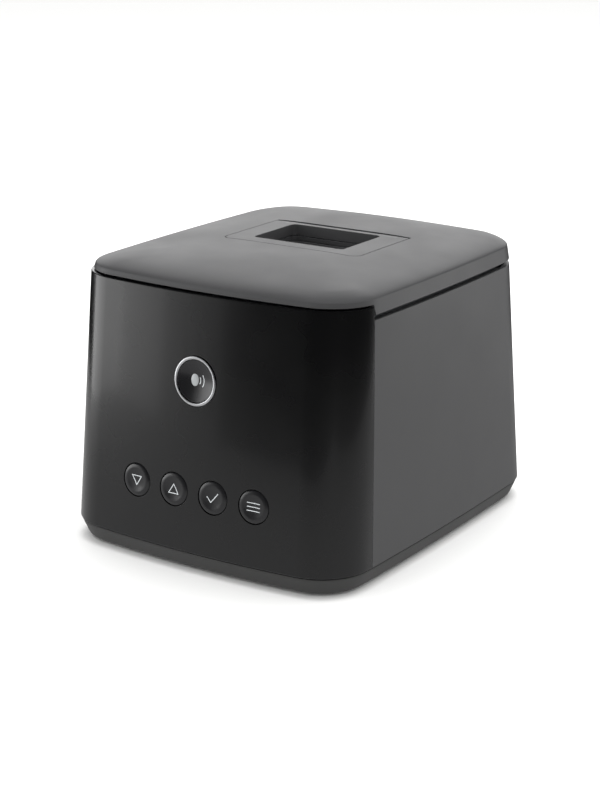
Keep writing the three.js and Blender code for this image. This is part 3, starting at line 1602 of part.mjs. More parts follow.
/** The whole machine. */
function machine() {
  const whole = new THREE.Group();
  const front = frontFrame();
  const rear = rearFrame();
  front.add(...pushButtons(), startControls(), keypadMembrane(), controlBoard(), displayModule());
  const filterPlace = rearFaceFrame(filterX);
  const socketPlace = rearFaceFrame(socketX);
  filterPlace.add(filterCover(), filterPad());
  socketPlace.add(powerInlet(), ...inletPins());
  rear.add(filterPlace, socketPlace);
  whole.add(
    baseTray(), ...feet(), ...baseScrews(), bodyShell(rear), frontPanel(front), front, rear,
    chassis(), heaterPlate(), ...heaterSprings(),
    chamberTub(), chamberPlate(), chamberSeal(), chamberCover(), inletSeal(),
    blowerBase(), blowerCover(), blowerMotor(), impeller(), ...blowerMounts(), airDuct(),
    ...trayBoards(), ...powerParts(), panelRibbon(),
    lidShell(), lidLiner(), hosePort(), portSeal(), handleFrame(), ...handlePins(), ...hingePins(),
  );
  return whole;
}

export default machine();
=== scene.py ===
"""The looks of a home breathing-therapy machine with a humidifier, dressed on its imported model.

Lengths are millimetres until a mesh is made, where MM turns them into metres. X is to the right,
the front faces -Y, Z is up, and the feet stand on z = 0.
"""
from __future__ import annotations

import json
import logging
import math
from dataclasses import dataclass, field
from enum import Enum
from typing import Any, Callable, Iterable, Sequence

import bmesh
import bpy
from mathutils import Matrix, Vector


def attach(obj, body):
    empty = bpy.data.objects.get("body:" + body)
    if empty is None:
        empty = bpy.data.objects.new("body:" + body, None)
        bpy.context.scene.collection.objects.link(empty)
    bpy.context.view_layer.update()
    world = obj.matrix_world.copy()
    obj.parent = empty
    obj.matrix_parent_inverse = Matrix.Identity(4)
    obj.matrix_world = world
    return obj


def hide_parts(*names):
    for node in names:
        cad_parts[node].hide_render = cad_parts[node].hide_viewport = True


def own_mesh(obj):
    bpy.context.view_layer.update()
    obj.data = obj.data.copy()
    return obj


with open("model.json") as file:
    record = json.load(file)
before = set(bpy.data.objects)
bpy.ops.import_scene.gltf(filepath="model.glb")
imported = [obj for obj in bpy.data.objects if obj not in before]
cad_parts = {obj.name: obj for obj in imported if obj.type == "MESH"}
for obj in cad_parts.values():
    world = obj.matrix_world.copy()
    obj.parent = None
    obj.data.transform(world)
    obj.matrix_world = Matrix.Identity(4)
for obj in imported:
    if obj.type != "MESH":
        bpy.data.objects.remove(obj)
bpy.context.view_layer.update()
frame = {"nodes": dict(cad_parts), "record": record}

MM = 0.001
TURN = math.tau
LOG = logging.getLogger("dressing")
LEAST_EDGE = 0.002
LEAST_GAP = 0.01
SHARP_EDGE = 32.0
PRINT_EDGE = 80.0

Point2 = tuple[float, float]
Point3 = tuple[float, float, float]
Thing = bpy.types.Object
Socket = bpy.types.NodeSocket
Level = tuple[float, list[Point2]]


def linear(code: str) -> tuple[float, float, float, float]:
    """Turns an sRGB hex colour into linear light.

    Args:
        code: Six hex digits.

    Returns:
        Red, green, blue and a full alpha.
    """
    parts = [int(code[start:start + 2], 16) / 255 for start in (0, 2, 4)]
    light = [part / 12.92 if part <= 0.04045 else ((part + 0.055) / 1.055) ** 2.4 for part in parts]
    return (light[0], light[1], light[2], 1.0)


def add(
    tree: bpy.types.NodeTree, kind: str, inputs: dict[str | int, Any] | None = None, output: str | int = 0,
    **settings: Any,
) -> Socket | None:
    """Adds a node with its settings, its values and its incoming links.

    Args:
        tree: The shader or geometry tree.
        kind: The node's type name.
        inputs: What each input gets, by name or index: a socket or a list of sockets is linked to it,
            and anything else is its value.
        output: The name or index of the wanted output.
        settings: Node properties by name.

    Returns:
        The wanted output, or None for a node that has none.
    """
    node = tree.nodes.new(kind)
    for name, value in settings.items():
        setattr(node, name, value)
    for name, given in (inputs or {}).items():
        for value in given if isinstance(given, list) else [given]:
            if isinstance(value, Socket):
                tree.links.new(value, node.inputs[name])
            else:
                node.inputs[name].default_value = value
    return node.outputs[output] if node.outputs else None


def evaluated(thing: Thing) -> bpy.types.Mesh:
    """Gives a new mesh of a linked object with its modifiers applied."""
    graph = bpy.context.evaluated_depsgraph_get()
    return bpy.data.meshes.new_from_object(thing.evaluated_get(graph), depsgraph=graph)


def linked(name: str, data: Any) -> Thing:
    """Links a new object to the scene.

    Args:
        name: Its name.
        data: Its mesh, light or camera.

    Returns:
        The object.
    """
    thing = bpy.data.objects.new(name, data)
    bpy.context.scene.collection.objects.link(thing)
    return thing


def shift(x: float, y: float, z: float) -> Matrix:
    """Gives a move by millimetres."""
    return Matrix.Translation(Vector((x, y, z)) * MM)


def spin(angle: float, axis: str) -> Matrix:
    """Gives a turn about an axis."""
    return Matrix.Rotation(angle, 4, axis)


# Forms


def fan(end: float, steps: int) -> list[float]:
    """Gives evenly spaced values from zero to an end."""
    return [end * step / steps for step in range(steps + 1)]


def quarter_round(steps: int) -> list[Point2]:
    """Gives the rise and the inset of the steps round a quarter circle, as shares of its radius."""
    return [(1 - math.cos(angle), 1 - math.sin(angle)) for angle in fan(TURN / 4, steps)]


def rounded(x0: float, x1: float, y0: float, y1: float, radius: float, steps: int = 8) -> list[Point2]:
    """Gives a rounded rectangle.

    Args:
        x0: Its least X.
        x1: Its greatest X.
        y0: Its least Y.
        y1: Its greatest Y.
        radius: The radius of its corners.
        steps: The count of steps round each corner.

    Returns:
        Its points, anticlockwise.
    """
    middles = [(x1 - radius, y1 - radius), (x0 + radius, y1 - radius), (x0 + radius, y0 + radius),
               (x1 - radius, y0 + radius)]
    return [(x + radius * math.cos(TURN / 4 * (turn + share)), y + radius * math.sin(TURN / 4 * (turn + share)))
            for turn, (x, y) in enumerate(middles) for share in fan(1, steps)]


@dataclass(frozen=True)
class BodyForm:
    """The tapered box with bowed faces that the shell, panel, tray and lid follow.

    Each face is one wide arc, and each corner one tighter arc that runs into both without a kink.
    """

    width: float = 178.0
    depth: float = 213.4
    corner: float = 28.0
    least_corner: float = 2.0
    face_room: float = 3.4
    side_room: float = 1.5
    face_bow: float = 3.02
    side_bow: float = 1.33
    side_lean: float = 0.02
    front_lean: float = 0.092
    rear_lean: float = 0.11
    seam: float = 10.5
    corner_steps: int = 14
    face_steps: int = 16

    def half_width(self, z: float) -> float:
        """Gives half of the body's width at a height."""
        return self.width / 2 - self.side_lean * (z - self.seam)

    def front(self, z: float) -> float:
        """Gives the distance from the middle to the front face at a height."""
        return self.depth / 2 - self.front_lean * (z - self.seam)

    def rear(self, z: float) -> float:
        """Gives the distance from the middle to the rear face at a height."""
        return self.depth / 2 - self.rear_lean * (z - self.seam)

    @staticmethod
    def _arc(half: float, rise: float, radius: float) -> tuple[float, float]:
        """Gives a face's arc.

        Args:
            half: Half the distance between the centres of the two corner arcs.
            rise: How far the face's middle stands out from the corner arcs.
            radius: The corner radius.

        Returns:
            The radius of the face's arc, and half of the angle that it spans.
        """
        out = radius + rise
        wide = (half ** 2 + out ** 2 - radius ** 2) / (2 * rise)
        return wide, math.atan2(half, wide - out)

    def outline(self, half_width: float, front: float, rear: float, radius: float) -> list[Point2]:
        """Gives a closed outline, anticlockwise from the middle of the front face.

        Args:
            half_width: Half of the width between the side faces, before their room is taken off.
            front: The distance from the middle to the front face.
            rear: The distance from the middle to the rear face.
            radius: The radius of the corners.

        Returns:
            The points of the outline.
        """
        x = half_width - self.side_room - radius
        low = -front + self.face_room + radius
        high = rear - self.face_room - radius
        middle, half = (low + high) / 2, (high - low) / 2
        face_radius, face_angle = self._arc(x, self.face_bow, radius)
        side_radius, side_angle = self._arc(half, self.side_bow, radius)
        side_x = x + radius + self.side_bow - side_radius
        front_y = low - radius - self.face_bow + face_radius
        rear_y = high + radius + self.face_bow - face_radius
        faces = [((0.0, front_y), face_radius, face_angle), ((side_x, middle), side_radius, side_angle),
                 ((0.0, rear_y), face_radius, face_angle), ((-side_x, middle), side_radius, side_angle)]
        corners = [(x, low), (x, high), (-x, high), (-x, low)]
        points: list[Point2] = []
        for index, (centre, wide, half_angle) in enumerate(faces):
            heading, following = TURN / 4 * (index - 1), faces[(index + 1) % 4][2]
            for (cx, cy), reach, start, end, steps in (
                (centre, wide, heading - half_angle, heading + half_angle, self.face_steps),
                (corners[index], radius, heading + half_angle, heading + TURN / 4 - following, self.corner_steps),
            ):
                points += [(cx + reach * math.cos(start + angle), cy + reach * math.sin(start + angle))
                           for angle in fan(end - start, steps)[:-1]]
        return points

    def section(self, z: float, inset: float = 0.0) -> list[Point2]:
        """Gives the body's section at a height, drawn in by an inset."""
        radius = max(self.corner - inset, self.least_corner)
        return self.outline(self.half_width(z) - inset, self.front(z) - inset, self.rear(z) - inset, radius)

    def level(self, z: float, inset: float = 0.0) -> Level:
        """Gives a height with the body's section at it."""
        return z, self.section(z, inset)

    def block(self, bottom: float, top: float, inset: float = 0.0) -> Solid:
        """Gives a solid that follows the body between two heights."""
        return Solid.loft([self.level(bottom, inset), self.level(top, inset)])

    @property
    def face_radius(self) -> float:
        """Gives the radius of the front face's bow."""
        return self._arc(self.width / 2 - self.side_room - self.corner, self.face_bow, self.corner)[0]

    def back_of_face(self, x: float) -> float:
        """Gives how far the bowed front lies behind its foremost plane at a distance from the middle."""
        wide = self.face_radius
        return self.face_room - self.face_bow + wide - math.sqrt(wide ** 2 - x ** 2)

    def turn_of_face(self, x: float) -> float:
        """Gives how far the bowed front is turned at a distance from the middle, in radians."""
        return math.asin(x / self.face_radius)

    def on_front(self, x: float, height: float) -> Matrix:
        """Gives the frame of a place on the front face: X right, Y inward, Z up the face."""
        foot = shift(0, -self.front(self.seam), self.seam) @ spin(-math.atan(self.front_lean), "X")
        return foot @ shift(x, self.back_of_face(x), height) @ spin(self.turn_of_face(x), "Z")

    def on_rear(self, x: float) -> Matrix:
        """Gives the frame of a place at the foot of the rear face: X right, Y outward, Z up the face."""
        foot = shift(0, self.rear(self.seam), self.seam) @ spin(math.atan(self.rear_lean), "X")
        return foot @ shift(x, -self.back_of_face(x), 0) @ spin(-self.turn_of_face(x), "Z")


class Operation(Enum):
    """What a boolean does."""

    CUT = "DIFFERENCE"
    KEEP = "INTERSECT"
    JOIN = "UNION"


class Solid:
    """A closed mesh under construction, which can be joined, cut and turned into a piece."""

    def __init__(self, points: Iterable[Sequence[float]], faces: Iterable[Sequence[int]]) -> None:
        """Makes the mesh with its faces outward.

        Args:
            points: Places in millimetres.
            faces: Corners of each face, as places in the list of points.
        """
        self.mesh = bmesh.new()
        corners = [self.mesh.verts.new(Vector(point) * MM) for point in points]
        for face in faces:
            self.mesh.faces.new([corners[index] for index in face])
        bmesh.ops.recalc_face_normals(self.mesh, faces=self.mesh.faces[:])

    @classmethod
    def through(cls, rings: Sequence[Sequence[Sequence[float]]], closed: bool = False) -> Solid:
        """Makes a solid through rings of places.

        Args:
            rings: The places of each ring, of the same count; a ring of one place is a pole.
            closed: True joins the last ring to the first, and False closes both ends.

        Returns:
            The solid.
        """
        count = iter(range(sum(len(ring) for ring in rings)))
        numbers = [[next(count) for _ in ring] for ring in rings]
        faces = []
        for lower, upper in zip(numbers, numbers[1:] + numbers[:1] if closed else numbers[1:]):
            sides = max(len(lower), len(upper))
            for i in range(sides):
                j = (i + 1) % sides
                corners = (lower[i % len(lower)], lower[j % len(lower)], upper[j % len(upper)], upper[i % len(upper)])
                faces.append(tuple(dict.fromkeys(corners)))
        ends = [] if closed else [tuple(ring) for ring in (numbers[0], numbers[-1]) if len(ring) > 1]
        return cls([place for ring in rings for place in ring], faces + ends)

    @classmethod
    def loft(cls, levels: Sequence[Level]) -> Solid:
        """Makes a solid through level sections that have the same count of points."""
        return cls.through([[(x, y, z) for x, y in section] for z, section in levels])

    @classmethod
    def prism(cls, points: list[Point2], bottom: float, top: float) -> Solid:
        """Makes an upright block from a list of X and Y points."""
        return cls.loft([(bottom, points), (top, points)])

    @classmethod
    def box(cls, x0: float, x1: float, y0: float, y1: float, z0: float, z1: float) -> Solid:
        """Makes a box between two corners."""
        return cls.prism([(x0, y0), (x1, y0), (x1, y1), (x0, y1)], z0, z1)

    @classmethod
    def side_block(cls, points: Sequence[Point2], start: float, end: float) -> Solid:
        """Makes a block along X between two places, from a list of Y and Z points."""
        return cls.through([[(x, y, z) for y, z in points] for x in (start, end)])

    @classmethod
    def turned(
        cls, profile: Sequence[Point2], sides: int, centre: Point2 = (0.0, 0.0), inward: bool = False,
    ) -> Solid:
        """Makes a turned solid from a profile of radius and height.

        Args:
            profile: Radius and height of each ring; a radius of zero is a pole, and a profile
                without poles is a closed ring.
            sides: The count of facets.
            centre: The place of the axis, across it.
            inward: True turns the solid round Y and takes the profile's heights along it.

        Returns:
            The solid.
        """
        rings = []
        for radius, height in profile:
            ring = []
            for angle in fan(TURN, sides)[:sides if radius else 1]:
                u, v = centre[0] + radius * math.cos(angle), centre[1] + radius * math.sin(angle)
                ring.append((u, height, v) if inward else (u, v, height))
            rings.append(ring)
        return cls.through(rings, profile[0][0] > 0)

    @classmethod
    def rod(cls, radius: float, start: float, end: float, centre: Point2 = (0.0, 0.0), sides: int = 48,
            inward: bool = False) -> Solid:
        """Makes a round rod that is upright, or lies along Y."""
        return cls.turned([(0, start), (radius, start), (radius, end), (0, end)], sides, centre, inward)

    def moved(self, matrix: Matrix) -> Solid:
        """Moves the mesh by a matrix in metres."""
        bmesh.ops.transform(self.mesh, matrix=matrix, verts=self.mesh.verts[:])
        return self

    def with_mesh(self, mesh: bpy.types.Mesh) -> Solid:
        """Takes a mesh in as it is, and removes it from the file.

        Args:
            mesh: The mesh.

        Returns:
            This solid.
        """
        self.mesh.from_mesh(mesh)
        bpy.data.meshes.remove(mesh)
        return self

    def with_islands(self, *others: Solid) -> Solid:
        """Takes other solids in as they are, without a boolean.

        Args:
            others: The solids.

        Returns:
            This solid.
        """
        for other in others:
            mesh = bpy.data.meshes.new("island")
            other.mesh.to_mesh(mesh)
            self.with_mesh(mesh)
        return self

    def _combine(self, operation: Operation, others: Iterable[Solid]) -> Solid:
        """Runs one boolean against each of some solids and keeps the result.

        Args:
            operation: What the boolean does.
            others: The other solids, in order.

        Returns:
            This solid.
        """
        for other in others:
            body, tool = self.as_object("body"), other.as_object("tool")
            change = body.modifiers.new("boolean", "BOOLEAN")
            change.operation, change.solver, change.object = operation.value, "EXACT", tool
            result = evaluated(body)
            self.mesh.clear()
            self.with_mesh(result)
            for mesh in (body.data, tool.data):
                bpy.data.meshes.remove(mesh)
        return self

    def cut(self, *others: Solid) -> Solid:
        """Cuts other solids out, one after the other."""
        return self._combine(Operation.CUT, others)

    def keep(self, other: Solid) -> Solid:
        """Keeps what lies inside another solid."""
        return self._combine(Operation.KEEP, [other])

    def join(self, other: Solid) -> Solid:
        """Joins another solid into one body with this one."""
        return self._combine(Operation.JOIN, [other])

    def as_object(self, name: str) -> Thing:
        """Gives a linked object with a copy of the mesh.

        Args:
            name: The object's name.

        Returns:
            The object.
        """
        mesh = bpy.data.meshes.new(name)
        self.mesh.to_mesh(mesh)
        return linked(name, mesh)

    def piece(self, name: str, limit: float = SHARP_EDGE) -> Thing:
        """Turns the mesh into a smooth piece whose sharp edges stay sharp.

        Args:
            name: The piece's name.
            limit: The angle in degrees past which an edge stays sharp.

        Returns:
            The object.
        """
        bmesh.ops.remove_doubles(self.mesh, verts=self.mesh.verts[:], dist=LEAST_EDGE * MM)
        bmesh.ops.dissolve_degenerate(self.mesh, edges=self.mesh.edges[:], dist=LEAST_EDGE * MM)
        for face in self.mesh.faces:
            face.smooth = True
        for edge in self.mesh.edges:
            edge.smooth = len(edge.link_faces) == 2 and edge.calc_face_angle() < math.radians(limit)
        thing = self.as_object(name)
        thing.modifiers.new("normals", "WEIGHTED_NORMAL").keep_sharp = True
        self.mesh.free()
        return settled(thing)


def settled(thing: Thing) -> Thing:
    """Turns an object with modifiers into one with a plain mesh.

    Args:
        thing: The object.

    Returns:
        The same object.
    """
    rough, mesh = thing.data, evaluated(thing)
    thing.modifiers.clear()
    thing.data = mesh
    mesh.name = thing.name
    bpy.data.meshes.remove(rough)
    return thing


# Finishes


class Grain(Enum):
    """How a surface was made, which decides its relief."""

    SPARK = "spark-eroded mould"
    POLISHED = "polished mould"
    BRUSHED = "brushed"
    CAST = "cast or moulded rubber"
    CELLS = "open-cell foam"


@dataclass(frozen=True)
class Finish:
    """One material with its grain, colour drift, gloss drift and worn edges.

    Sizes are millimetres. A metal keeps the shader's own IOR.
    """

    name: str
    colour: str
    drift: str
    roughness: float
    grain: Grain
    grain_size: float
    relief: float
    gloss_drift: float = 0.05
    metallic: float = 0.0
    ior: float = 1.46
    coat: float = 0.0
    coat_roughness: float = 0.03
    edge: str | None = None
    edge_radius: float = 0.35
    edge_turns: Point2 = (0.995, 0.8)
    edge_samples: int = 4
    grain_roughness: float = 0.55
    drift_size: float = 45.0
    drift_span: Point2 = (0.3, 0.7)
    drift_roughness: float = 0.6
    drift_detail: float = 3.0
    brush_stretch: float = 40.0
    transmission: float = 0.0
    sheen: float = 0.0

    def _relief(self, tree: bpy.types.NodeTree, place: Socket) -> Socket:
        """Adds the nodes of the grain.

        Args:
            tree: The material's tree.
            place: The object coordinates.

        Returns:
            The height of the grain, from 0 to 1.
        """
        scale = 1 / (self.grain_size * MM)
        if self.grain is Grain.CELLS:
            return add(tree, "ShaderNodeTexVoronoi", {"Scale": scale, "Vector": place}, feature="F1")
        if self.grain is Grain.BRUSHED:
            place = add(tree, "ShaderNodeMapping", {
                "Scale": (1 / self.brush_stretch, 1.0, 1.0), "Vector": place,
            })
        detail = {Grain.POLISHED: 1.0, Grain.SPARK: 4.0}.get(self.grain, 3.0)
        return add(tree, "ShaderNodeTexNoise", {
            "Scale": scale, "Detail": detail, "Roughness": self.grain_roughness, "Vector": place,
        })

    def build(self) -> bpy.types.Material:
        """Builds the material.

        Returns:
            The material, ready for a slot.
        """
        material = bpy.data.materials.new(self.name)
        material.use_nodes = True
        tree = material.node_tree
        tree.nodes.clear()
        place = add(tree, "ShaderNodeTexCoord", output="Object")
        height = self._relief(tree, place)
        drift = add(tree, "ShaderNodeTexNoise", {
            "Scale": 1 / (self.drift_size * MM), "Detail": self.drift_detail, "Roughness": self.drift_roughness,
            "Vector": place,
        })
        tint = add(tree, "ShaderNodeMix", {0: drift, 6: linear(self.colour), 7: linear(self.drift)}, 2,
                   data_type="RGBA")
        rounding = add(tree, "ShaderNodeBevel", {"Radius": self.edge_radius * MM}, samples=self.edge_samples)
        if self.edge:
            normal = add(tree, "ShaderNodeNewGeometry", output="Normal")
            along = add(tree, "ShaderNodeVectorMath", {0: rounding, 1: normal}, "Value", operation="DOT_PRODUCT")
            worn = add(tree, "ShaderNodeMapRange", {
                "From Min": self.edge_turns[0], "From Max": self.edge_turns[1], "To Min": 0.0, "To Max": 1.0,
                "Value": along,
            })
            tint = add(tree, "ShaderNodeMix", {0: worn, 6: tint, 7: linear(self.edge)}, 2, data_type="RGBA")
        bump = add(tree, "ShaderNodeBump", {
            "Strength": 1.0, "Distance": self.relief * MM, "Height": height, "Normal": rounding,
        })
        gloss = add(tree, "ShaderNodeMapRange", {
            "From Min": self.drift_span[0], "From Max": self.drift_span[1], "Value": drift,
            "To Min": self.roughness - self.gloss_drift, "To Max": self.roughness + self.gloss_drift,
        })
        shader = add(tree, "ShaderNodeBsdfPrincipled", {
            "Metallic": self.metallic, "Coat Weight": self.coat, "Coat Roughness": self.coat_roughness,
            "Transmission Weight": self.transmission, "Sheen Weight": self.sheen, "Base Color": tint,
            "Roughness": gloss, "Normal": bump, **({} if self.metallic else {"IOR": self.ior}),
        })
        add(tree, "ShaderNodeOutputMaterial", {"Surface": shader})
        return material


class Palette:
    """The finishes of this machine, each built once, by the record's material slots."""

    # Real mould grain, blasting and drawing lines are 0.02 to 0.1 mm wide. They are too fine to show in
    # the render, so they are drawn at 0.3 to 0.8 mm, the least that shows.
    FINISHES: dict[str, Finish] = {
        # Moulded ABS from a spark-eroded mould: a fine even grain that spreads every highlight
        "satin_charcoal": Finish("abs_satin_spark_moulded", "3a3a3b", "404041", 0.46, Grain.SPARK, 0.55, 0.012,
                                 edge="565658", gloss_drift=0.04),
        # Tinted polycarbonate from a polished mould: a clear, slightly wavy reflection over near black
        "gloss_black": Finish("polycarbonate_tinted_polished", "070708", "0a0a0b", 0.27, Grain.POLISHED, 14.0, 0.01,
                              edge="1a1a1c", coat=0.25, coat_roughness=0.1, gloss_drift=0.03),
        # Matt moulded ABS from a coarser mould than the shell's: darker, with hardly a highlight
        "tray_grey": Finish("abs_matt_moulded", "2f2f2f", "353534", 0.55, Grain.SPARK, 0.7, 0.018, edge="484847"),
        # Moulded ABS keycaps with a fine satin grain: near black, with one small soft highlight
        "key_black": Finish("abs_keycap_moulded", "151517", "19191b", 0.3, Grain.SPARK, 0.4, 0.006, edge="2c2c2f",
                            coat=0.2, coat_roughness=0.12),
        # Chromium plating over a blasted ring: a bright satin metal that catches every light
        "bright_chrome": Finish("chromium_plated", "dcdddf", "d2d3d5", 0.38, Grain.BRUSHED, 0.5, 0.004,
                                metallic=1.0),
        # Drawn steel, tumbled after cutting: a streaky shine with brighter edges
        "steel": Finish("steel_drawn", "9b9da1", "85878b", 0.36, Grain.BRUSHED, 0.35, 0.008, metallic=1.0,
                        gloss_drift=0.08),
        # Die-cast aluminium whose face is ground flat: straight grinding lines that draw highlights out
        "aluminium": Finish("aluminium_ground", "b9bbbd", "a6a8ab", 0.4, Grain.BRUSHED, 0.3, 0.01, metallic=1.0,
                            gloss_drift=0.08),
        # Moulded polypropylene: matt, with slow cloudiness from its cooling
        "inner_grey": Finish("polypropylene_moulded", "55575a", "4c4e51", 0.58, Grain.SPARK, 0.8, 0.015,
                             edge="6c6e71"),
        # Moulded ABS, a step paler than the shell as painted light for the light that falls into the lid's well: the
        # lining reads one step lighter
        "lining_grey": Finish("abs_lining_painted_light", "4a4a4b", "505051", 0.5, Grain.SPARK, 0.6, 0.012, edge="626263"),
        # Clear moulded polycarbonate: what lies behind it shows through a faint cool tint
        "clear_plastic": Finish("polycarbonate_clear_moulded", "dbe7ec", "d2e0e6", 0.08, Grain.POLISHED, 18.0, 0.02,
                                ior=1.585, transmission=0.92, gloss_drift=0.03),
        # Moulded silicone: soft sheen and a dusty surface
        "seal_blue": Finish("silicone_moulded_blue", "5f8fae", "5684a2", 0.62, Grain.CAST, 0.6, 0.02, ior=1.41,
                            sheen=0.1),
        # Moulded silicone in its natural milky grey: dull, with a soft sheen at its edges
        "silicone_grey": Finish("silicone_moulded_grey", "8d9194", "83878a", 0.6, Grain.CAST, 0.6, 0.02, ior=1.41,
                                sheen=0.1),
        # Moulded rubber: dull, with a rough cast skin that hides highlights
        "rubber_black": Finish("rubber_moulded", "1b1b1b", "222222", 0.78, Grain.CAST, 0.5, 0.03, ior=1.52),
        # Moulded nylon with glass fibre: near black and matt
        "socket_black": Finish("nylon_moulded", "191919", "202020", 0.6, Grain.SPARK, 0.5, 0.015, edge="333333"),
        # Moulded polypropylene, smoother than the inner parts for a tight push fit: a faint shine round the cone
        "port_grey": Finish("polypropylene_port_moulded", "8b8f92", "82868a", 0.42, Grain.SPARK, 0.6, 0.01,
                            edge="a3a6a9"),
        # Glass-epoxy board under solder mask: green, with a thin wet shine
        "board_green": Finish("circuit_board_masked", "1e5a3a", "1a4e33", 0.35, Grain.BRUSHED, 0.6, 0.02, coat=0.3),
        # Moulded white polycarbonate, unlit: a soft grey spot with a small clear highlight
        "lens_white": Finish("polycarbonate_white_moulded", "9fa2a4", "96999b", 0.25, Grain.POLISHED, 6.0, 0.004),
        # Open-cell polyurethane foam: a pitted face that swallows light
        "foam_grey": Finish("polyurethane_foam_open", "6f7275", "5c5f62", 0.95, Grain.CELLS, 1.1, 0.5, sheen=0.2),
        # Moulded vinyl ribbon cable: fine ridges along its wires
        "ribbon_grey": Finish("ribbon_cable_vinyl", "a6a8aa", "989a9c", 0.5, Grain.BRUSHED, 1.2, 0.15),
        # Polyester tape wound on a ferrite core: amber, with the lines of its turns
        "transformer_tape": Finish("polyester_tape_wound", "b08a2a", "a17c22", 0.4, Grain.BRUSHED, 2.0, 0.03),
        # Vinyl sleeve shrunk on an aluminium can: a tight glossy skin with slow waves
        "capacitor_sleeve": Finish("vinyl_sleeve_shrunk", "24406a", "1e365b", 0.3, Grain.POLISHED, 8.0, 0.02),
        # White ink, printed by pad on the keys: thin, flat and without shine
        "print_white": Finish("ink_pad_printed", "d8dcde", "cfd3d6", 0.5, Grain.SPARK, 0.3, 0.003),
    }

    def __init__(self) -> None:
        """Starts with nothing built."""
        self.built: dict[str, bpy.types.Material] = {}

    def get(self, slot: str) -> bpy.types.Material:
        """Gives the material of a slot, building it at its first use.

        Args:
            slot: The slot's name.

        Returns:
            The material.
        """
        if slot not in self.built:
            self.built[slot] = self.FINISHES[slot].build()
        return self.built[slot]


PALETTE = Palette()


def dress(
    thing: Thing, body: str, slot: str, nodes: Sequence[str] = (),
) -> None:
    """Gives a piece its finish, its body and the nodes that it stands for.

    Args:
        thing: The piece.
        body: The name of the body that it rides on.
        slot: The finish.
        nodes: The nodes that it replaces.
    """
    thing.data.materials.clear()
    thing.data.materials.append(PALETTE.get(slot))
    for node in nodes:
        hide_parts(node)
    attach(thing, body)
    LOG.info("%s rides on %s in %s, %d faces", thing.name, body, slot, len(thing.data.polygons))


# Geometry Nodes


class Recipe:
    """A Geometry Nodes tree with named sizes, which is built in code and ends as a plain mesh."""

    def __init__(self, name: str, sizes: dict[str, float | int]) -> None:
        """Starts the tree with its inputs.

        Args:
            name: The tree's name.
            sizes: The named inputs with their values; whole numbers are counts.
        """
        self.tree = bpy.data.node_groups.new(name, "GeometryNodeTree")
        face = self.tree.interface
        face.new_socket("Geometry", in_out="INPUT", socket_type="NodeSocketGeometry")
        self.values: dict[str, float | int] = {}
        for label, value in sizes.items():
            kind, given = ("NodeSocketInt", value) if isinstance(value, int) else ("NodeSocketFloat", value * MM)
            self.values[face.new_socket(label, in_out="INPUT", socket_type=kind).identifier] = given
        face.new_socket("Geometry", in_out="OUTPUT", socket_type="NodeSocketGeometry")
        self.inputs = self.add("NodeGroupInput").node.outputs

    def add(self, kind: str, inputs: dict[str | int, Any] | None = None, output: str | int = 0,
            **settings: Any) -> Socket | None:
        """Adds a node to the tree."""
        return add(self.tree, kind, inputs, output, **settings)

    def grow(self, name: str, parts: list[Socket], slot: str, points: Sequence[Sequence[float]],
             edges: Sequence[Sequence[int]] = ()) -> Thing:
        """Closes the tree, runs it on a host mesh and keeps the result as a plain mesh.

        Args:
            name: The piece's name.
            parts: The tree's results, which are copied to every host point if the host has no edges.
            slot: The finish that the tree sets.
            points: The host's points, in millimetres.
            edges: The host's edges.

        Returns:
            The piece.
        """
        whole = self.add("GeometryNodeJoinGeometry", {0: parts})
        if not edges:
            whole = self.add("GeometryNodeInstanceOnPoints", {"Points": self.inputs["Geometry"], "Instance": whole})
        real = self.add("GeometryNodeRealizeInstances", {"Geometry": whole})
        painted = self.add("GeometryNodeSetMaterial", {"Geometry": real, "Material": PALETTE.get(slot)})
        self.add("NodeGroupOutput", {"Geometry": painted})
        host = bpy.data.meshes.new(name)
        host.from_pydata([Vector(point) * MM for point in points], edges, [])
        thing = bpy.data.objects.new(name, host)
        modifier = thing.modifiers.new("recipe", "NODES")
        modifier.node_group = self.tree
        for identifier, value in self.values.items():
            modifier[identifier] = value
        bpy.context.scene.collection.objects.link(thing)
        return settled(thing)


# Sub-assemblies


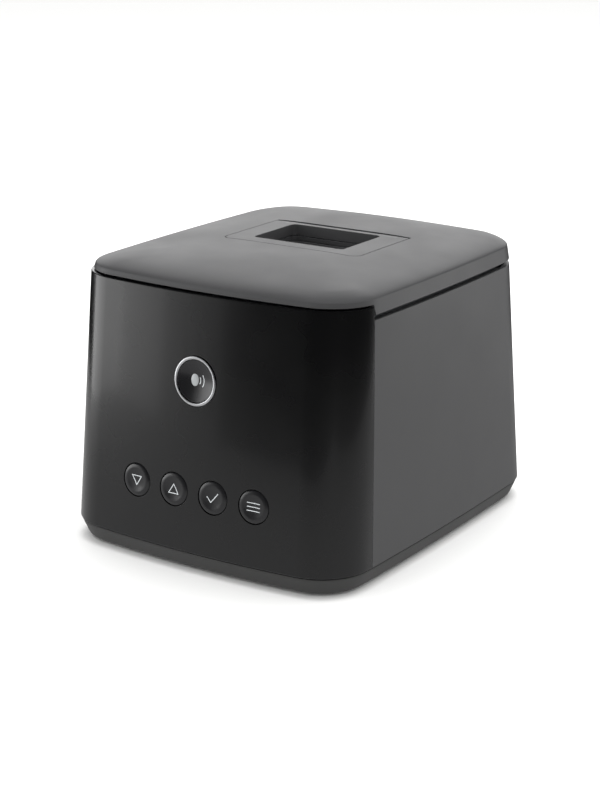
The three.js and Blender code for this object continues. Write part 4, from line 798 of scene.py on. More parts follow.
@dataclass
class Housing:
    """The tray, the rear shell, the front panel, the feet and the screws."""

    form: BodyForm = field(default_factory=BodyForm)
    fit: float = 0.35
    seat: float = 0.4
    overrun: float = 2.0
    shell_wall: float = 2.6
    panel_wall: float = 2.4
    side_rim: float = 135.6
    front_rim: float = 142.0
    rim_round: float = 0.5
    foot_round: float = 0.5
    panel_round: float = 0.7
    seam_foot: float = -72.4
    seam_lean: float = 0.034
    tray_bottom: float = 1.5
    tray_bevel: float = 4.3
    tray_inset: float = 0.5
    tray_floor: float = 2.4
    tray_round: float = 0.6
    tray_thickening: float = 1.6
    foot_radius: float = 8.0
    foot_height: float = 2.2
    foot_place: Point2 = (56.0, 72.0)
    grip_radius: float = 0.4
    grip_shares: Point2 = (0.55, 0.85)
    leg_x: float = 72.0
    leg_front: float = -74.0
    leg_rear: float = 66.0
    screw_radius: float = 3.4
    screw_height: float = 2.2
    screw_sink: float = 0.3
    shank_radius: float = 1.5
    shank_length: float = 14.0
    cross: Point3 = (0.9, 4.4, 1.2)
    hinge_x: float = 49.0
    hinge_y: float = 90.6
    hinge_z: float = 136.8
    knuckle_radius: float = 3.4
    knuckle_bevel: float = 0.3
    knuckle_sides: int = 40
    web_share: float = 0.6
    pin_radius: float = 1.5
    lid_knuckle: float = 9.2
    shell_knuckle: float = 6.0
    notch_gap: float = 0.8
    web: float = 6.0
    filter_x: float = -8.0
    filter_half: float = 23.0
    filter_foot: float = 10.0
    filter_head: float = 40.0
    filter_depth: float = 10.4
    frame_wall: float = 2.0
    socket_x: float = 42.0
    socket_half: float = 13.6
    socket_foot: float = 12.0
    socket_head: float = 32.0
    hole_depth: float = 8.0

    def seam_at(self, z: float) -> float:
        """Gives the place of the upright seam along Y at a height."""
        return self.seam_foot + self.seam_lean * (z - self.form.seam)

    def front_block(self, back: float) -> Solid:
        """Gives all that lies in front of the upright seam.

        Args:
            back: How far the seam is moved back.

        Returns:
            A block that holds everything in front.
        """
        low, high, far = -self.overrun, self.front_rim + self.overrun, -self.form.depth
        return Solid.side_block([(self.seam_at(low) + back, low), (self.seam_at(high) + back, high), (far, high),
                                 (far, low)], -self.form.width, self.form.width)

    def rear_box(self, x: float, half: float, inner: float, outer: float, foot: float, head: float) -> Solid:
        """Gives a box at a place on the rear face, between two distances from that face."""
        return Solid.box(-half, half, inner, outer, foot, head).moved(self.form.on_rear(x))

    def key_hole(self, x: float, height: float, radius: float, sides: int) -> Solid:
        """Gives the hole that a round key needs at a place on the front face."""
        hole = Solid.rod(radius + self.fit, -self.overrun, self.hole_depth, sides=sides, inward=True)
        return hole.moved(self.form.on_front(x, height))

    def skin(self, rim: float, wall: float, rim_round: float) -> Solid:
        """Gives a standing wall all round the body, with rounded outer edges.

        Args:
            rim: The height of its upper edge.
            wall: Its thickness.
            rim_round: The rounding of its upper outer edge.

        Returns:
            The wall, open at both ends.
        """
        form, foot, bevel = self.form, self.form.seam + self.fit, self.foot_round
        levels = [form.level(foot + bevel * rise, bevel * inset) for rise, inset in quarter_round(3)]
        levels += [form.level(foot + (rim - foot) * share) for share in fan(1, 4)[1:-1]]
        levels += [form.level(rim - rim_round * inset, rim_round * rise) for rise, inset in quarter_round(5)]
        return Solid.loft(levels).cut(form.block(foot - self.overrun, rim + self.overrun, wall))

    def knuckle_room(self, bottom: float, top: float) -> list[Solid]:
        """Gives the room that the hinge takes out of a wall between two heights.

        Args:
            bottom: The lower height.
            top: The upper height.

        Returns:
            A block for each hinge.
        """
        reach = self.lid_knuckle / 2 + self.shell_knuckle + self.notch_gap
        near, far = self.hinge_y - self.knuckle_radius - self.notch_gap, self.hinge_y + self.knuckle_radius * 2
        return [Solid.box(x - reach, x + reach, near, far, bottom, top) for x in (-self.hinge_x, self.hinge_x)]

    def knuckles(self, spans: Sequence[Point2], web_end: float) -> list[Solid]:
        """Gives bored knuckles along X at both hinges, with webs.

        Args:
            spans: The start and end of each knuckle, from its hinge's middle.
            web_end: The height that the webs reach.

        Returns:
            The knuckles and their webs.
        """
        parts = []
        bore, outer, bevel = self.pin_radius + self.fit, self.knuckle_radius, self.knuckle_bevel
        place = shift(0, self.hinge_y, self.hinge_z) @ spin(TURN / 4, "Y")
        gap = math.copysign(outer * self.web_share, web_end - self.hinge_z)
        low, high = sorted((self.hinge_z + gap, web_end))
        for x in (-self.hinge_x, self.hinge_x):
            for near, far in [(x + start, x + end) for start, end in spans]:
                ring = Solid.turned([(bore, near), (outer - bevel, near), (outer, near + bevel),
                                     (outer, far - bevel), (outer - bevel, far), (bore, far)],
                                    self.knuckle_sides)
                web = Solid.box(near, far, self.hinge_y - self.shell_wall, self.hinge_y + outer / 2, low, high)
                parts += [ring.moved(place), web]
        return parts

    def shell(self) -> None:
        """Builds the rear shell with its rim, seam tongue, filter frame and hinge knuckles."""
        form, fit, overrun, frame_wall = self.form, self.fit, self.overrun, self.frame_wall
        foot, head, depth = self.filter_foot, self.filter_head, self.filter_depth
        room_foot = self.hinge_z - self.knuckle_radius - self.notch_gap
        body = self.skin(self.side_rim, self.shell_wall, self.rim_round)
        body.cut(self.front_block(fit / 2), *self.knuckle_room(room_foot, self.side_rim + self.overrun),
                 self.rear_box(self.filter_x, self.filter_half, -depth - overrun, overrun * 2, foot, head),
                 self.rear_box(self.socket_x, self.socket_half, -self.shell_wall * 2, overrun * 2,
                               self.socket_foot, self.socket_head))
        tongue = form.block(form.seam + fit, self.side_rim, self.panel_wall + fit)
        tongue.cut(form.block(form.seam + fit - overrun, self.side_rim + overrun,
                              self.shell_wall + self.panel_wall / 2))
        tongue.keep(self.front_block(self.panel_wall * 2)).cut(self.front_block(-self.panel_wall * 2))
        holder = self.rear_box(self.filter_x, self.filter_half + frame_wall, -depth, -self.shell_wall / 2 - fit,
                               foot - frame_wall, head + frame_wall)
        holder.cut(self.rear_box(self.filter_x, self.filter_half, -depth - overrun, overrun, foot, head))
        half = self.lid_knuckle / 2
        spans = [(-half - self.shell_knuckle, -half - fit), (half + fit, half + self.shell_knuckle)]
        body.with_islands(tongue, holder, *self.knuckles(spans, room_foot - self.web))
        dress(body.piece("shell_rear"), "housing", "satin_charcoal", ["body_shell"])

    def panel(self, holes: Sequence[Solid]) -> None:
        """Builds the gloss front panel with round holes for its keys."""
        body = self.skin(self.front_rim, self.panel_wall, self.panel_round).keep(self.front_block(-self.fit / 2))
        dress(body.cut(*holes).piece("panel_front"), "housing", "gloss_black", ["front_panel"])

    def tray_wall(self) -> Thing:
        """Sweeps the tray's rounded section along the body's outline by nodes.

        Returns:
            The wall.
        """
        top, under = self.form.seam - self.fit / 2, self.tray_inset - self.tray_bevel
        down = self.tray_bottom - top
        recipe = Recipe("swept_wall", {
            "Rim": 0.0, "Depth": down, "Floor": down + self.tray_floor, "Wall": -self.shell_wall, "Slope": under,
            "Inner slope": under - self.tray_thickening * self.shell_wall, "Rounding": self.tray_round,
            "Around": 181, "Across": 41, "Round steps": 5,
        })
        size = recipe.inputs
        path = recipe.add("GeometryNodeMeshToCurve", {"Mesh": size["Geometry"]})
        corners = [recipe.add("ShaderNodeCombineXYZ", {"X": size[x], "Y": size[y]})
                   for x, y in (("Rim", "Rim"), ("Slope", "Depth"), ("Inner slope", "Floor"), ("Wall", "Rim"))]
        section = recipe.add("GeometryNodeCurvePrimitiveQuadrilateral", {
            f"Point {place}": corner for place, corner in enumerate(corners, 1)
        }, mode="POINTS")
        smooth = recipe.add("GeometryNodeFilletCurve", {
            "Curve": section, "Radius": size["Rounding"], "Count": size["Round steps"], "Limit Radius": True,
        }, mode="POLY")
        grid = recipe.add("GeometryNodeMeshGrid", {"Vertices X": size["Around"], "Vertices Y": size["Across"]})
        shares = [recipe.add("ShaderNodeSeparateXYZ", {"Vector": grid.node.outputs["UV Map"]}, axis)
                  for axis in "XY"]
        along, across = [
            recipe.add("GeometryNodeSampleCurve", {"Curves": curve, "Factor": share}, "Position", mode="FACTOR",
                       use_all_curves=True)
            for curve, share in zip((path, smooth), shares)
        ]
        tangent, turned = along.node.outputs["Tangent"], (0.0, 0.0, 1.0)
        outward = recipe.add("ShaderNodeVectorMath", {0: tangent, 1: turned}, operation="CROSS_PRODUCT")
        aside, up = [recipe.add("ShaderNodeSeparateXYZ", {"Vector": across}, axis) for axis in "XY"]
        moved = recipe.add("ShaderNodeVectorMath", {0: outward, "Scale": aside}, operation="SCALE")
        raised = recipe.add("ShaderNodeVectorMath", {
            0: moved, 1: recipe.add("ShaderNodeCombineXYZ", {"Z": up}),
        }, operation="ADD")
        final = recipe.add("ShaderNodeVectorMath", {0: along, 1: raised}, operation="ADD")
        bent = recipe.add("GeometryNodeSetPosition", {"Geometry": grid, "Position": final})
        closed = recipe.add("GeometryNodeMergeByDistance", {"Geometry": bent, "Distance": LEAST_GAP * MM})
        host = [(x, y, top) for x, y in self.form.section(self.form.seam, self.tray_inset)]
        edges = [(index, (index + 1) % len(host)) for index in range(len(host))]
        return recipe.grow("tray_wall", [closed], "tray_grey", host, edges)

    def tray(self) -> None:
        """Builds the tray: its swept wall, and its floor with rooms for feet and screws."""
        section, low = self.form.section(self.form.seam, self.tray_bevel + self.tray_round), -self.overrun
        floor = Solid.prism(section, self.tray_bottom, self.tray_bottom + self.tray_floor)
        floor.cut(*[Solid.rod(self.foot_radius + self.fit, low, self.foot_height + self.seat, place)
                    for place in self.foot_places()])
        screw_top = self.tray_bottom + self.screw_sink + self.screw_height
        floor.cut(*[Solid.rod(self.screw_radius + self.fit, low, screw_top, place, 32)
                    for place in self.leg_places()])
        whole = Solid([], []).with_mesh(self.tray_wall().data)
        bmesh.ops.recalc_face_normals(whole.mesh, faces=whole.mesh.faces[:])
        whole.with_islands(floor)
        dress(whole.piece("tray_base"), "housing", "tray_grey", ["base_tray"])

    def foot_places(self) -> list[Point2]:
        """Gives the four places of the feet."""
        x, y = self.foot_place
        return [(-x, -y), (x, -y), (-x, y), (x, y)]

    def leg_places(self) -> list[Point2]:
        """Gives the four places of the screws."""
        return [(x, y) for y in (self.leg_front, self.leg_rear) for x in (-self.leg_x, self.leg_x)]

    def feet(self) -> None:
        """Builds the four rubber feet by nodes, each with two grip rings on its sole."""
        ring, radius, height = self.grip_radius, self.foot_radius, self.foot_height - self.grip_radius
        inner, outer = self.grip_shares
        recipe = Recipe("rubber_feet", {
            "Radius": radius, "Height": height, "Middle": ring + height / 2, "Ring": ring,
            "Inner ring": radius * inner, "Outer ring": radius * outer, "Sides": 48, "Ring sides": 8,
        })
        size = recipe.inputs
        pad = recipe.add("GeometryNodeMeshCylinder", {
            "Vertices": size["Sides"], "Radius": size["Radius"], "Depth": size["Height"],
        })
        tube, *circles = [
            recipe.add("GeometryNodeCurvePrimitiveCircle", {"Resolution": size[sides], "Radius": size[label]})
            for sides, label in (("Ring sides", "Ring"), ("Sides", "Inner ring"), ("Sides", "Outer ring"))
        ]
        rings = [recipe.add("GeometryNodeCurveToMesh", {"Curve": circle, "Profile Curve": tube})
                 for circle in circles]
        parts = [
            recipe.add("GeometryNodeTransform", {
                "Geometry": part, "Translation": recipe.add("ShaderNodeCombineXYZ", {"Z": size[lift]}),
            }) for part, lift in zip((pad, *rings), ("Middle", "Ring", "Ring"))
        ]
        thing = recipe.grow("feet_rubber", parts, "rubber_black", [(x, y, 0.0) for x, y in self.foot_places()])
        dress(thing, "housing", "rubber_black", ["foot_fl", "foot_fr", "foot_rl", "foot_rr"])

    def screws(self) -> None:
        """Builds the four base screws by nodes, each with a cross recess in its head."""
        (width, length, depth), height = self.cross, self.screw_height
        recipe = Recipe("cross_screws", {
            "Head radius": self.screw_radius, "Head height": height, "Shank radius": self.shank_radius,
            "Shank length": self.shank_length, "Shank rise": (self.shank_length + height) / 2,
            "Slot width": width, "Slot length": length, "Slot depth": depth * 2, "Slot place": -height / 2,
            "Sides": 32, "Shank sides": 16,
        })
        size = recipe.inputs
        head, shank = [
            recipe.add("GeometryNodeMeshCylinder", {
                "Vertices": size[sides], "Radius": size[radius], "Depth": size[depth],
            }) for sides, radius, depth in (("Sides", "Head radius", "Head height"),
                                            ("Shank sides", "Shank radius", "Shank length"))
        ]
        slots = [
            recipe.add("GeometryNodeMeshCube", {"Size": recipe.add("ShaderNodeCombineXYZ", {
                "X": size[x], "Y": size[y], "Z": size["Slot depth"],
            })}) for x, y in (("Slot width", "Slot length"), ("Slot length", "Slot width"))
        ]
        cross = recipe.add("GeometryNodeMeshBoolean", {"Mesh 2": slots}, operation="UNION", solver="EXACT")
        raised, lowered = [
            recipe.add("GeometryNodeTransform", {
                "Geometry": part, "Translation": recipe.add("ShaderNodeCombineXYZ", {"Z": size[label]}),
            }) for part, label in ((shank, "Shank rise"), (cross, "Slot place"))
        ]
        cut = recipe.add("GeometryNodeMeshBoolean", {"Mesh 1": head, "Mesh 2": lowered}, operation="DIFFERENCE",
                         solver="EXACT")
        middle = self.tray_bottom + self.screw_sink + height / 2
        thing = recipe.grow("screws_base", [cut, raised], "steel", [(x, y, middle) for x, y in self.leg_places()])
        nodes = ["base_screw_fl", "base_screw_fr", "base_screw_rl", "base_screw_rr"]
        dress(thing, "housing", "steel", nodes)


class Icon(Enum):
    """The mark printed on a key."""

    DOWN = "down"
    UP = "up"
    ACCEPT = "ok"
    MENU = "menu"


# Each line of a mark: its points in the key's face, and whether it closes
STROKES: dict[Icon, list[tuple[list[Point2], bool]]] = {
    Icon.DOWN: [([(-3.0, 2.2), (3.0, 2.2), (0.0, -2.6)], True)],
    Icon.UP: [([(-3.0, -2.2), (3.0, -2.2), (0.0, 2.6)], True)],
    Icon.ACCEPT: [([(-3.2, 0.2), (-1.0, -2.4), (3.2, 2.6)], False)],
    Icon.MENU: [([(-3.5, v), (3.5, v)], False) for v in (2.0, 0.0, -2.0)],
}


def printed_lines(
    lines: Sequence[tuple[list[Point2], bool]], width: float, ink: float, depth_at: Callable[[float], float],
) -> Solid:
    """Lays thin printed lines on a turned face.

    Args:
        lines: Corner points of each line, and whether it closes.
        width: The width of a line.
        ink: How far the ink stands off the face.
        depth_at: Gives the face's depth at a distance from its middle.

    Returns:
        The lines as one solid, in the face's frame.
    """
    whole, stride = Solid([], []), 0.5
    for corners, closed in lines:
        ends = corners + corners[:1] if closed else corners
        for (u0, v0), (u1, v1) in zip(ends, ends[1:]):
            length = math.hypot(u1 - u0, v1 - v0)
            du, dv = (u1 - u0) / length, (v1 - v0) / length
            rings = []
            for reach in fan(length + width, max(int(length / stride), 2)):
                ring = []
                for aside, rise in ((-width / 2, -ink), (width / 2, -ink), (width / 2, ink), (-width / 2, ink)):
                    u = u0 + du * (reach - width / 2) - dv * aside
                    v = v0 + dv * (reach - width / 2) + du * aside
                    ring.append((u, depth_at(math.hypot(u, v)) + rise, v))
                rings.append(ring)
            whole.with_islands(Solid.through(rings))
    return whole


@dataclass
class Keys:
    """The four round keys in a row, with the marks printed on them."""

    housing: Housing
    height: float = 31.5
    pitch: float = 24.1
    middle: float = 1.2
    radius: float = 8.55
    proud: float = 0.5
    dish: float = 0.6
    crown_share: float = 0.72
    shoulder: float = 1.1
    flange_depth: float = 3.3
    flange_width: float = 1.6
    flange: float = 1.0
    stem: float = 3.5
    stem_reach: float = 7.0
    stroke: float = 0.42
    ink: float = 0.03
    sides: int = 72
    steps: int = 8

    def places(self) -> list[float]:
        """Gives the four places along X."""
        return [self.middle + step * self.pitch for step in (-1.5, -0.5, 0.5, 1.5)]

    def depth_at(self, radius: float) -> float:
        """Gives the depth of a key's face.

        Args:
            radius: The distance from the key's middle.

        Returns:
            The depth behind the panel's face.
        """
        crown = self.radius * self.crown_share
        if radius <= crown:
            return -self.proud + self.dish * (1 - (radius / crown) ** 2)
        share = (radius - crown) / (self.radius - crown)
        return -self.proud + self.shoulder * (1 - math.sqrt(max(1 - share ** 2, 0)))

    def holes(self) -> list[Solid]:
        """Gives the holes that the keys need in the panel."""
        return [self.housing.key_hole(x, self.height, self.radius, self.sides) for x in self.places()]

    def cap(self, x: float) -> Solid:
        """Gives a key cap round its own axis.

        Args:
            x: Its place along the row, which sets the length of its stem.

        Returns:
            The cap.
        """
        form = self.housing.form
        end = self.stem_reach - form.back_of_face(x) - self.stem * abs(math.sin(form.turn_of_face(x)))
        crown, outer = self.radius * self.crown_share, self.radius + self.flange_width
        radii = fan(crown, self.steps)
        radii += [crown + (self.radius - crown) * math.sin(angle) for angle in fan(TURN / 4, self.steps)[1:]]
        back = self.flange_depth + self.flange
        return Solid.turned([
            *[(radius, self.depth_at(radius)) for radius in radii], (self.radius, self.flange_depth),
            (outer, self.flange_depth), (outer, back), (self.stem, back), (self.stem, end), (0, end),
        ], self.sides, inward=True)

    def build(self) -> None:
        """Builds the keys and their marks."""
        for x, icon in zip(self.places(), Icon):
            name, place = icon.value, self.housing.form.on_front(x, self.height)
            dress(self.cap(x).moved(place).piece(f"cap_{name}"), f"key_{name}", "key_black", [f"button_{name}"])
            mark = printed_lines(STROKES[icon], self.stroke, self.ink, self.depth_at).moved(place)
            dress(mark.piece(f"mark_{name}", PRINT_EDGE), f"key_{name}", "print_white")


@dataclass
class StartKey:
    """The start key: a plated ring round a dished dial with an unlit lens."""

    housing: Housing
    height: float = 88.7
    ring_radius: float = 12.5
    ring_width: float = 1.5
    ring_proud: float = 0.54
    ring_power: float = 0.4
    dish: float = 1.87
    ring_end: float = 4.3
    flange_depth: float = 3.3
    flange_width: float = 1.6
    stem: float = 3.5
    stem_end: float = 6.6
    lens_half: Point2 = (2.3, 3.3)
    lens_shift: Point2 = (-1.5, 0.3)
    arcs: tuple[Point2, Point2] = ((3.0, 0.5), (5.2, 0.55))
    arc_shift: float = 0.6
    arc_width: float = 0.5
    ink: float = 0.03
    flange: float = 1.0
    sides: int = 96
    steps: int = 12
    ring_sides: int = 128
    ring_steps: int = 16
    ring_edge: float = 40.0
    lens_sides: int = 48
    lens_sink: float = 0.05
    lens_profile: tuple[Point2, ...] = (
        (0, -0.5), (0.3, -0.49), (0.6, -0.42), (0.85, -0.24), (1.0, 0.0), (1.0, 0.8), (0, 0.8),
    )

    def place(self) -> Matrix:
        """Gives the frame of the key on the front face."""
        return self.housing.form.on_front(0.0, self.height)

    def hole(self) -> Solid:
        """Gives the hole that the ring needs in the panel."""
        return self.housing.key_hole(0.0, self.height, self.ring_radius, self.sides)

    def depth_at(self, radius: float) -> float:
        """Gives the depth of the dial's face at a distance from its middle."""
        reach = self.ring_radius - self.ring_width - self.housing.fit
        return self.dish * (1 - min(radius / reach, 1) ** 2)

    def build(self) -> None:
        """Builds the ring, the dial, the lens and the two arcs beside it."""
        inner = self.ring_radius - self.ring_width
        middle, outer = (inner + self.ring_radius) / 2, self.ring_radius + self.flange_width
        ring = Solid.turned([
            *[(middle - math.cos(angle) * self.ring_width / 2,
               -self.ring_proud * max(math.sin(angle), 0.0) ** self.ring_power)
              for angle in fan(TURN / 2, self.ring_steps)],
            (self.ring_radius, self.flange_depth), (outer, self.flange_depth), (outer, self.ring_end),
            (inner, self.ring_end),
        ], self.ring_sides, inward=True)
        dress(ring.moved(self.place()).piece("ring_start", self.ring_edge), "housing", "bright_chrome", ["start_ring"])
        reach, back = inner - self.housing.fit, self.ring_end + self.housing.fit
        rim = reach + self.flange_width
        dial = Solid.turned([
            *[(radius, self.depth_at(radius)) for radius in fan(reach, self.steps)], (reach, back), (rim, back),
            (rim, back + self.flange), (self.stem, back + self.flange), (self.stem, self.stem_end),
            (0, self.stem_end),
        ], self.sides, inward=True)
        dress(dial.moved(self.place()).piece("dial_start"), "start_key", "key_black", ["start_button"])
        (half_u, half_v), (du, dv) = self.lens_half, self.lens_shift
        place = self.place() @ shift(du, self.depth_at(abs(du)) - self.lens_sink, dv)
        lens = Solid.turned(self.lens_profile, self.lens_sides, inward=True)
        lens.moved(place @ Matrix.Diagonal((half_u, 1.0, half_v, 1.0)))
        dress(lens.piece("lens_start"), "start_key", "lens_white", ["start_lens"])
        lines = [([(du + self.arc_shift + radius * math.cos(angle - half), dv + radius * math.sin(angle - half))
                   for angle in fan(2 * half, 8)], False) for radius, half in self.arcs]
        marks = printed_lines(lines, self.arc_width, self.ink, self.depth_at).moved(self.place())
        dress(marks.piece("mark_start", PRINT_EDGE), "start_key", "print_white")


@dataclass
class Lid:
    """The pillow-shaped lid with its handle recess, its well and the hose port."""

    housing: Housing
    rim: float = 138.0
    lip: float = 142.9
    lip_gap: float = 0.9
    top: float = 151.5
    wall: float = 2.6
    crease_rise: float = 7.0
    crease_insets: Point3 = (1.6, 3.0, 0.6)
    crease_share: float = 0.8
    reaches: Point3 = (62.0, 58.0, 22.0)
    power: float = 1.8
    rim_round: float = 0.3
    well_half: float = 28.0
    well_front: float = -8.0
    well_rear: float = 31.0
    well_radius: float = 3.0
    arm: float = 14.0
    grip: float = 8.5
    thickness: float = 6.0
    corner_radius: float = 5.0
    heel_radius: float = 2.5
    handle_gap: float = 0.5
    bed: float = 2.4
    port_top: float = 10.8
    port_foot: float = 11.0
    port_bore: float = 8.5
    port_height: float = 16.0
    port_lip: float = 0.5
    flange_radius: float = 13.6
    flange: float = 1.8
    spigot: float = 10.2
    spigot_drop: float = 4.8
    well_floor: float = 119.9
    hollow_share: float = 0.7
    recess_heel: float = 0.05
    lip_share: float = 0.3
    sharp_edge: float = 28.0
    sides: int = 96
    corner_steps: int = 12
    heel_steps: int = 16
    pillow_steps: int = 36
    hollow_steps: int = 12

    @property
    def port_place(self) -> Point2:
        """Gives the place of the hose port in plan."""
        return 0.0, (self.well_front + self.well_rear) / 2

    def outline(self, side: float, front: float, rear: float) -> list[Point2]:
        """Gives the lid's outline.

        Args:
            side: How far it is drawn in at the sides.
            front: How far it is drawn in at the front.
            rear: How far it is drawn in at the rear.

        Returns:
            The points of the outline.
        """
        form, z = self.housing.form, self.rim
        return form.outline(form.half_width(z) - side, form.front(z) - front, form.rear(z) - rear,
                            max(form.corner - side, form.corner / 2))

    def pillow(self, wall: float, drop: float, steps: int) -> list[Level]:
        """Gives the levels of the pillow form above its crease, whose section is a superellipse.

        Args:
            wall: How far the form is set in.
            drop: How far the form is set down.
            steps: The count of levels above the crease.

        Returns:
            The levels from the crease up.
        """
        crease = self.rim + self.crease_rise - drop
        levels: list[Level] = []
        for angle in fan(TURN / 4, steps):
            inward = 1 - max(math.cos(angle), 0.0) ** (2 / self.power)
            upward = math.sin(angle) ** (2 / self.power)
            insets = [start + wall + reach * inward for start, reach in zip(self.crease_insets, self.reaches)]
            levels.append((crease + (self.top - drop - crease) * upward, self.outline(*insets)))
        return levels

    def form_solid(self) -> Solid:
        """Gives the lid's outer form.

        Returns:
            The form, without its hollow.
        """
        edge, share = self.rim_round, self.crease_share
        levels = [(self.rim + edge * rise, self.outline(*[edge * inset] * 3)) for rise, inset in quarter_round(3)]
        levels.append((self.rim + self.crease_rise * share,
                       self.outline(*[inset * share for inset in self.crease_insets])))
        return Solid.loft([*levels, *self.pillow(0.0, 0.0, self.pillow_steps)])

    def plan(self, grow: float, bottom: float, top: float, heel_radius: float | None = None) -> Solid:
        """Gives the handle's plan as a block, with larger corners at its front.

        Args:
            grow: How far the plan is grown.
            bottom: The height of its foot.
            top: The height of its head.
            heel_radius: The radius of its rear corners, where it isn't the handle's own.

        Returns:
            The block.
        """
        half, front = self.well_half + self.arm + grow, self.well_front - self.grip - grow
        rear = self.well_rear + self.thickness + grow
        fore = rounded(-half, half, front, rear, self.corner_radius + grow, self.corner_steps)
        heel = rounded(-half, half, front, rear, heel_radius or self.heel_radius + grow, self.corner_steps)
        middle = len(fore) // 2
        return Solid.prism(heel[:middle] + fore[middle:], bottom, top)

    def well(self, bottom: float, top: float) -> Solid:
        """Gives the well as a block."""
        return Solid.prism(rounded(-self.well_half, self.well_half, self.well_front, self.well_rear,
                                   self.well_radius), bottom, top)

    def shell(self) -> None:
        """Builds the lid shell with its recess, well and hinge knuckles."""
        housing, form, low = self.housing, self.housing.form, self.rim - self.housing.overrun
        pillow = self.pillow(self.wall * self.hollow_share, self.wall, self.hollow_steps)
        hollow = Solid.loft([(low, self.outline(*[self.wall] * 3)), *pillow])
        back = housing.seam_at(housing.front_rim) + self.lip_gap
        step = Solid.box(-form.width, form.width, -form.depth, back, low, self.lip)
        room_top = housing.hinge_z + housing.knuckle_radius + housing.notch_gap
        bed_top = self.top - self.thickness - housing.seat
        bed_bottom = bed_top - self.bed
        body = self.form_solid().cut(hollow, step, *housing.knuckle_room(low, room_top))
        body.join(self.plan(self.handle_gap + self.bed, bed_bottom, self.top).keep(self.form_solid()))
        # The heel's corners stay nearly square, so that the handle's heel can turn in the recess
        body.cut(self.plan(self.handle_gap, bed_top, self.top + housing.overrun, self.recess_heel),
                 self.well(bed_bottom - housing.overrun, self.top))
        half = housing.lid_knuckle / 2
        body.with_islands(*housing.knuckles([(-half, half)], room_top + self.wall))
        dress(body.piece("lid_pillow", self.sharp_edge), "lid", "satin_charcoal", ["lid_shell"])

    def handle(self) -> None:
        """Builds the folding handle, whose top follows the lid's dome."""
        bottom, half, overrun = self.top - self.thickness, self.thickness / 2, self.housing.overrun
        axis_y, axis_z = self.well_rear + half, self.top - half
        tip, reach = self.well_front - self.grip - overrun, self.well_half + self.arm + overrun
        heel = [(axis_y + half * math.sin(angle), axis_z - half * math.cos(angle))
                for angle in fan(TURN / 2, self.heel_steps)]
        profile = Solid.side_block([(tip, axis_z - half), *heel, (tip, axis_z + half)], -reach, reach)
        body = self.plan(0.0, bottom, self.top).cut(self.well(bottom - overrun, self.top + overrun))
        body.keep(profile).keep(self.form_solid())
        dress(body.piece("handle_bail", self.sharp_edge), "handle", "satin_charcoal", ["handle_frame"])

    def port(self) -> None:
        """Builds the hose port, a turned cone with a rounded lip."""
        low, top = self.well_floor + self.housing.fit, self.well_floor + self.port_height
        foot, flange_top, lip = self.well_floor - self.spigot_drop, low + self.flange, self.port_lip
        port = Solid.turned([
            (self.port_bore, foot), (self.spigot, foot), (self.spigot, low), (self.flange_radius, low),
            (self.flange_radius, flange_top - lip), (self.flange_radius - lip, flange_top),
            (self.port_foot + lip, flange_top), (self.port_foot, flange_top + lip), (self.port_top, top - lip),
            (self.port_top - lip * self.lip_share, top - lip * self.lip_share), (self.port_top - lip, top),
            (self.port_bore + lip, top), (self.port_bore, top - lip),
        ], self.sides, self.port_place)
        dress(port.piece("port_hose"), "lid", "port_grey", ["hose_port"])

    def build(self) -> None:
        """Builds the lid's pieces."""
        for build in (self.shell, self.handle, self.port):
            build()


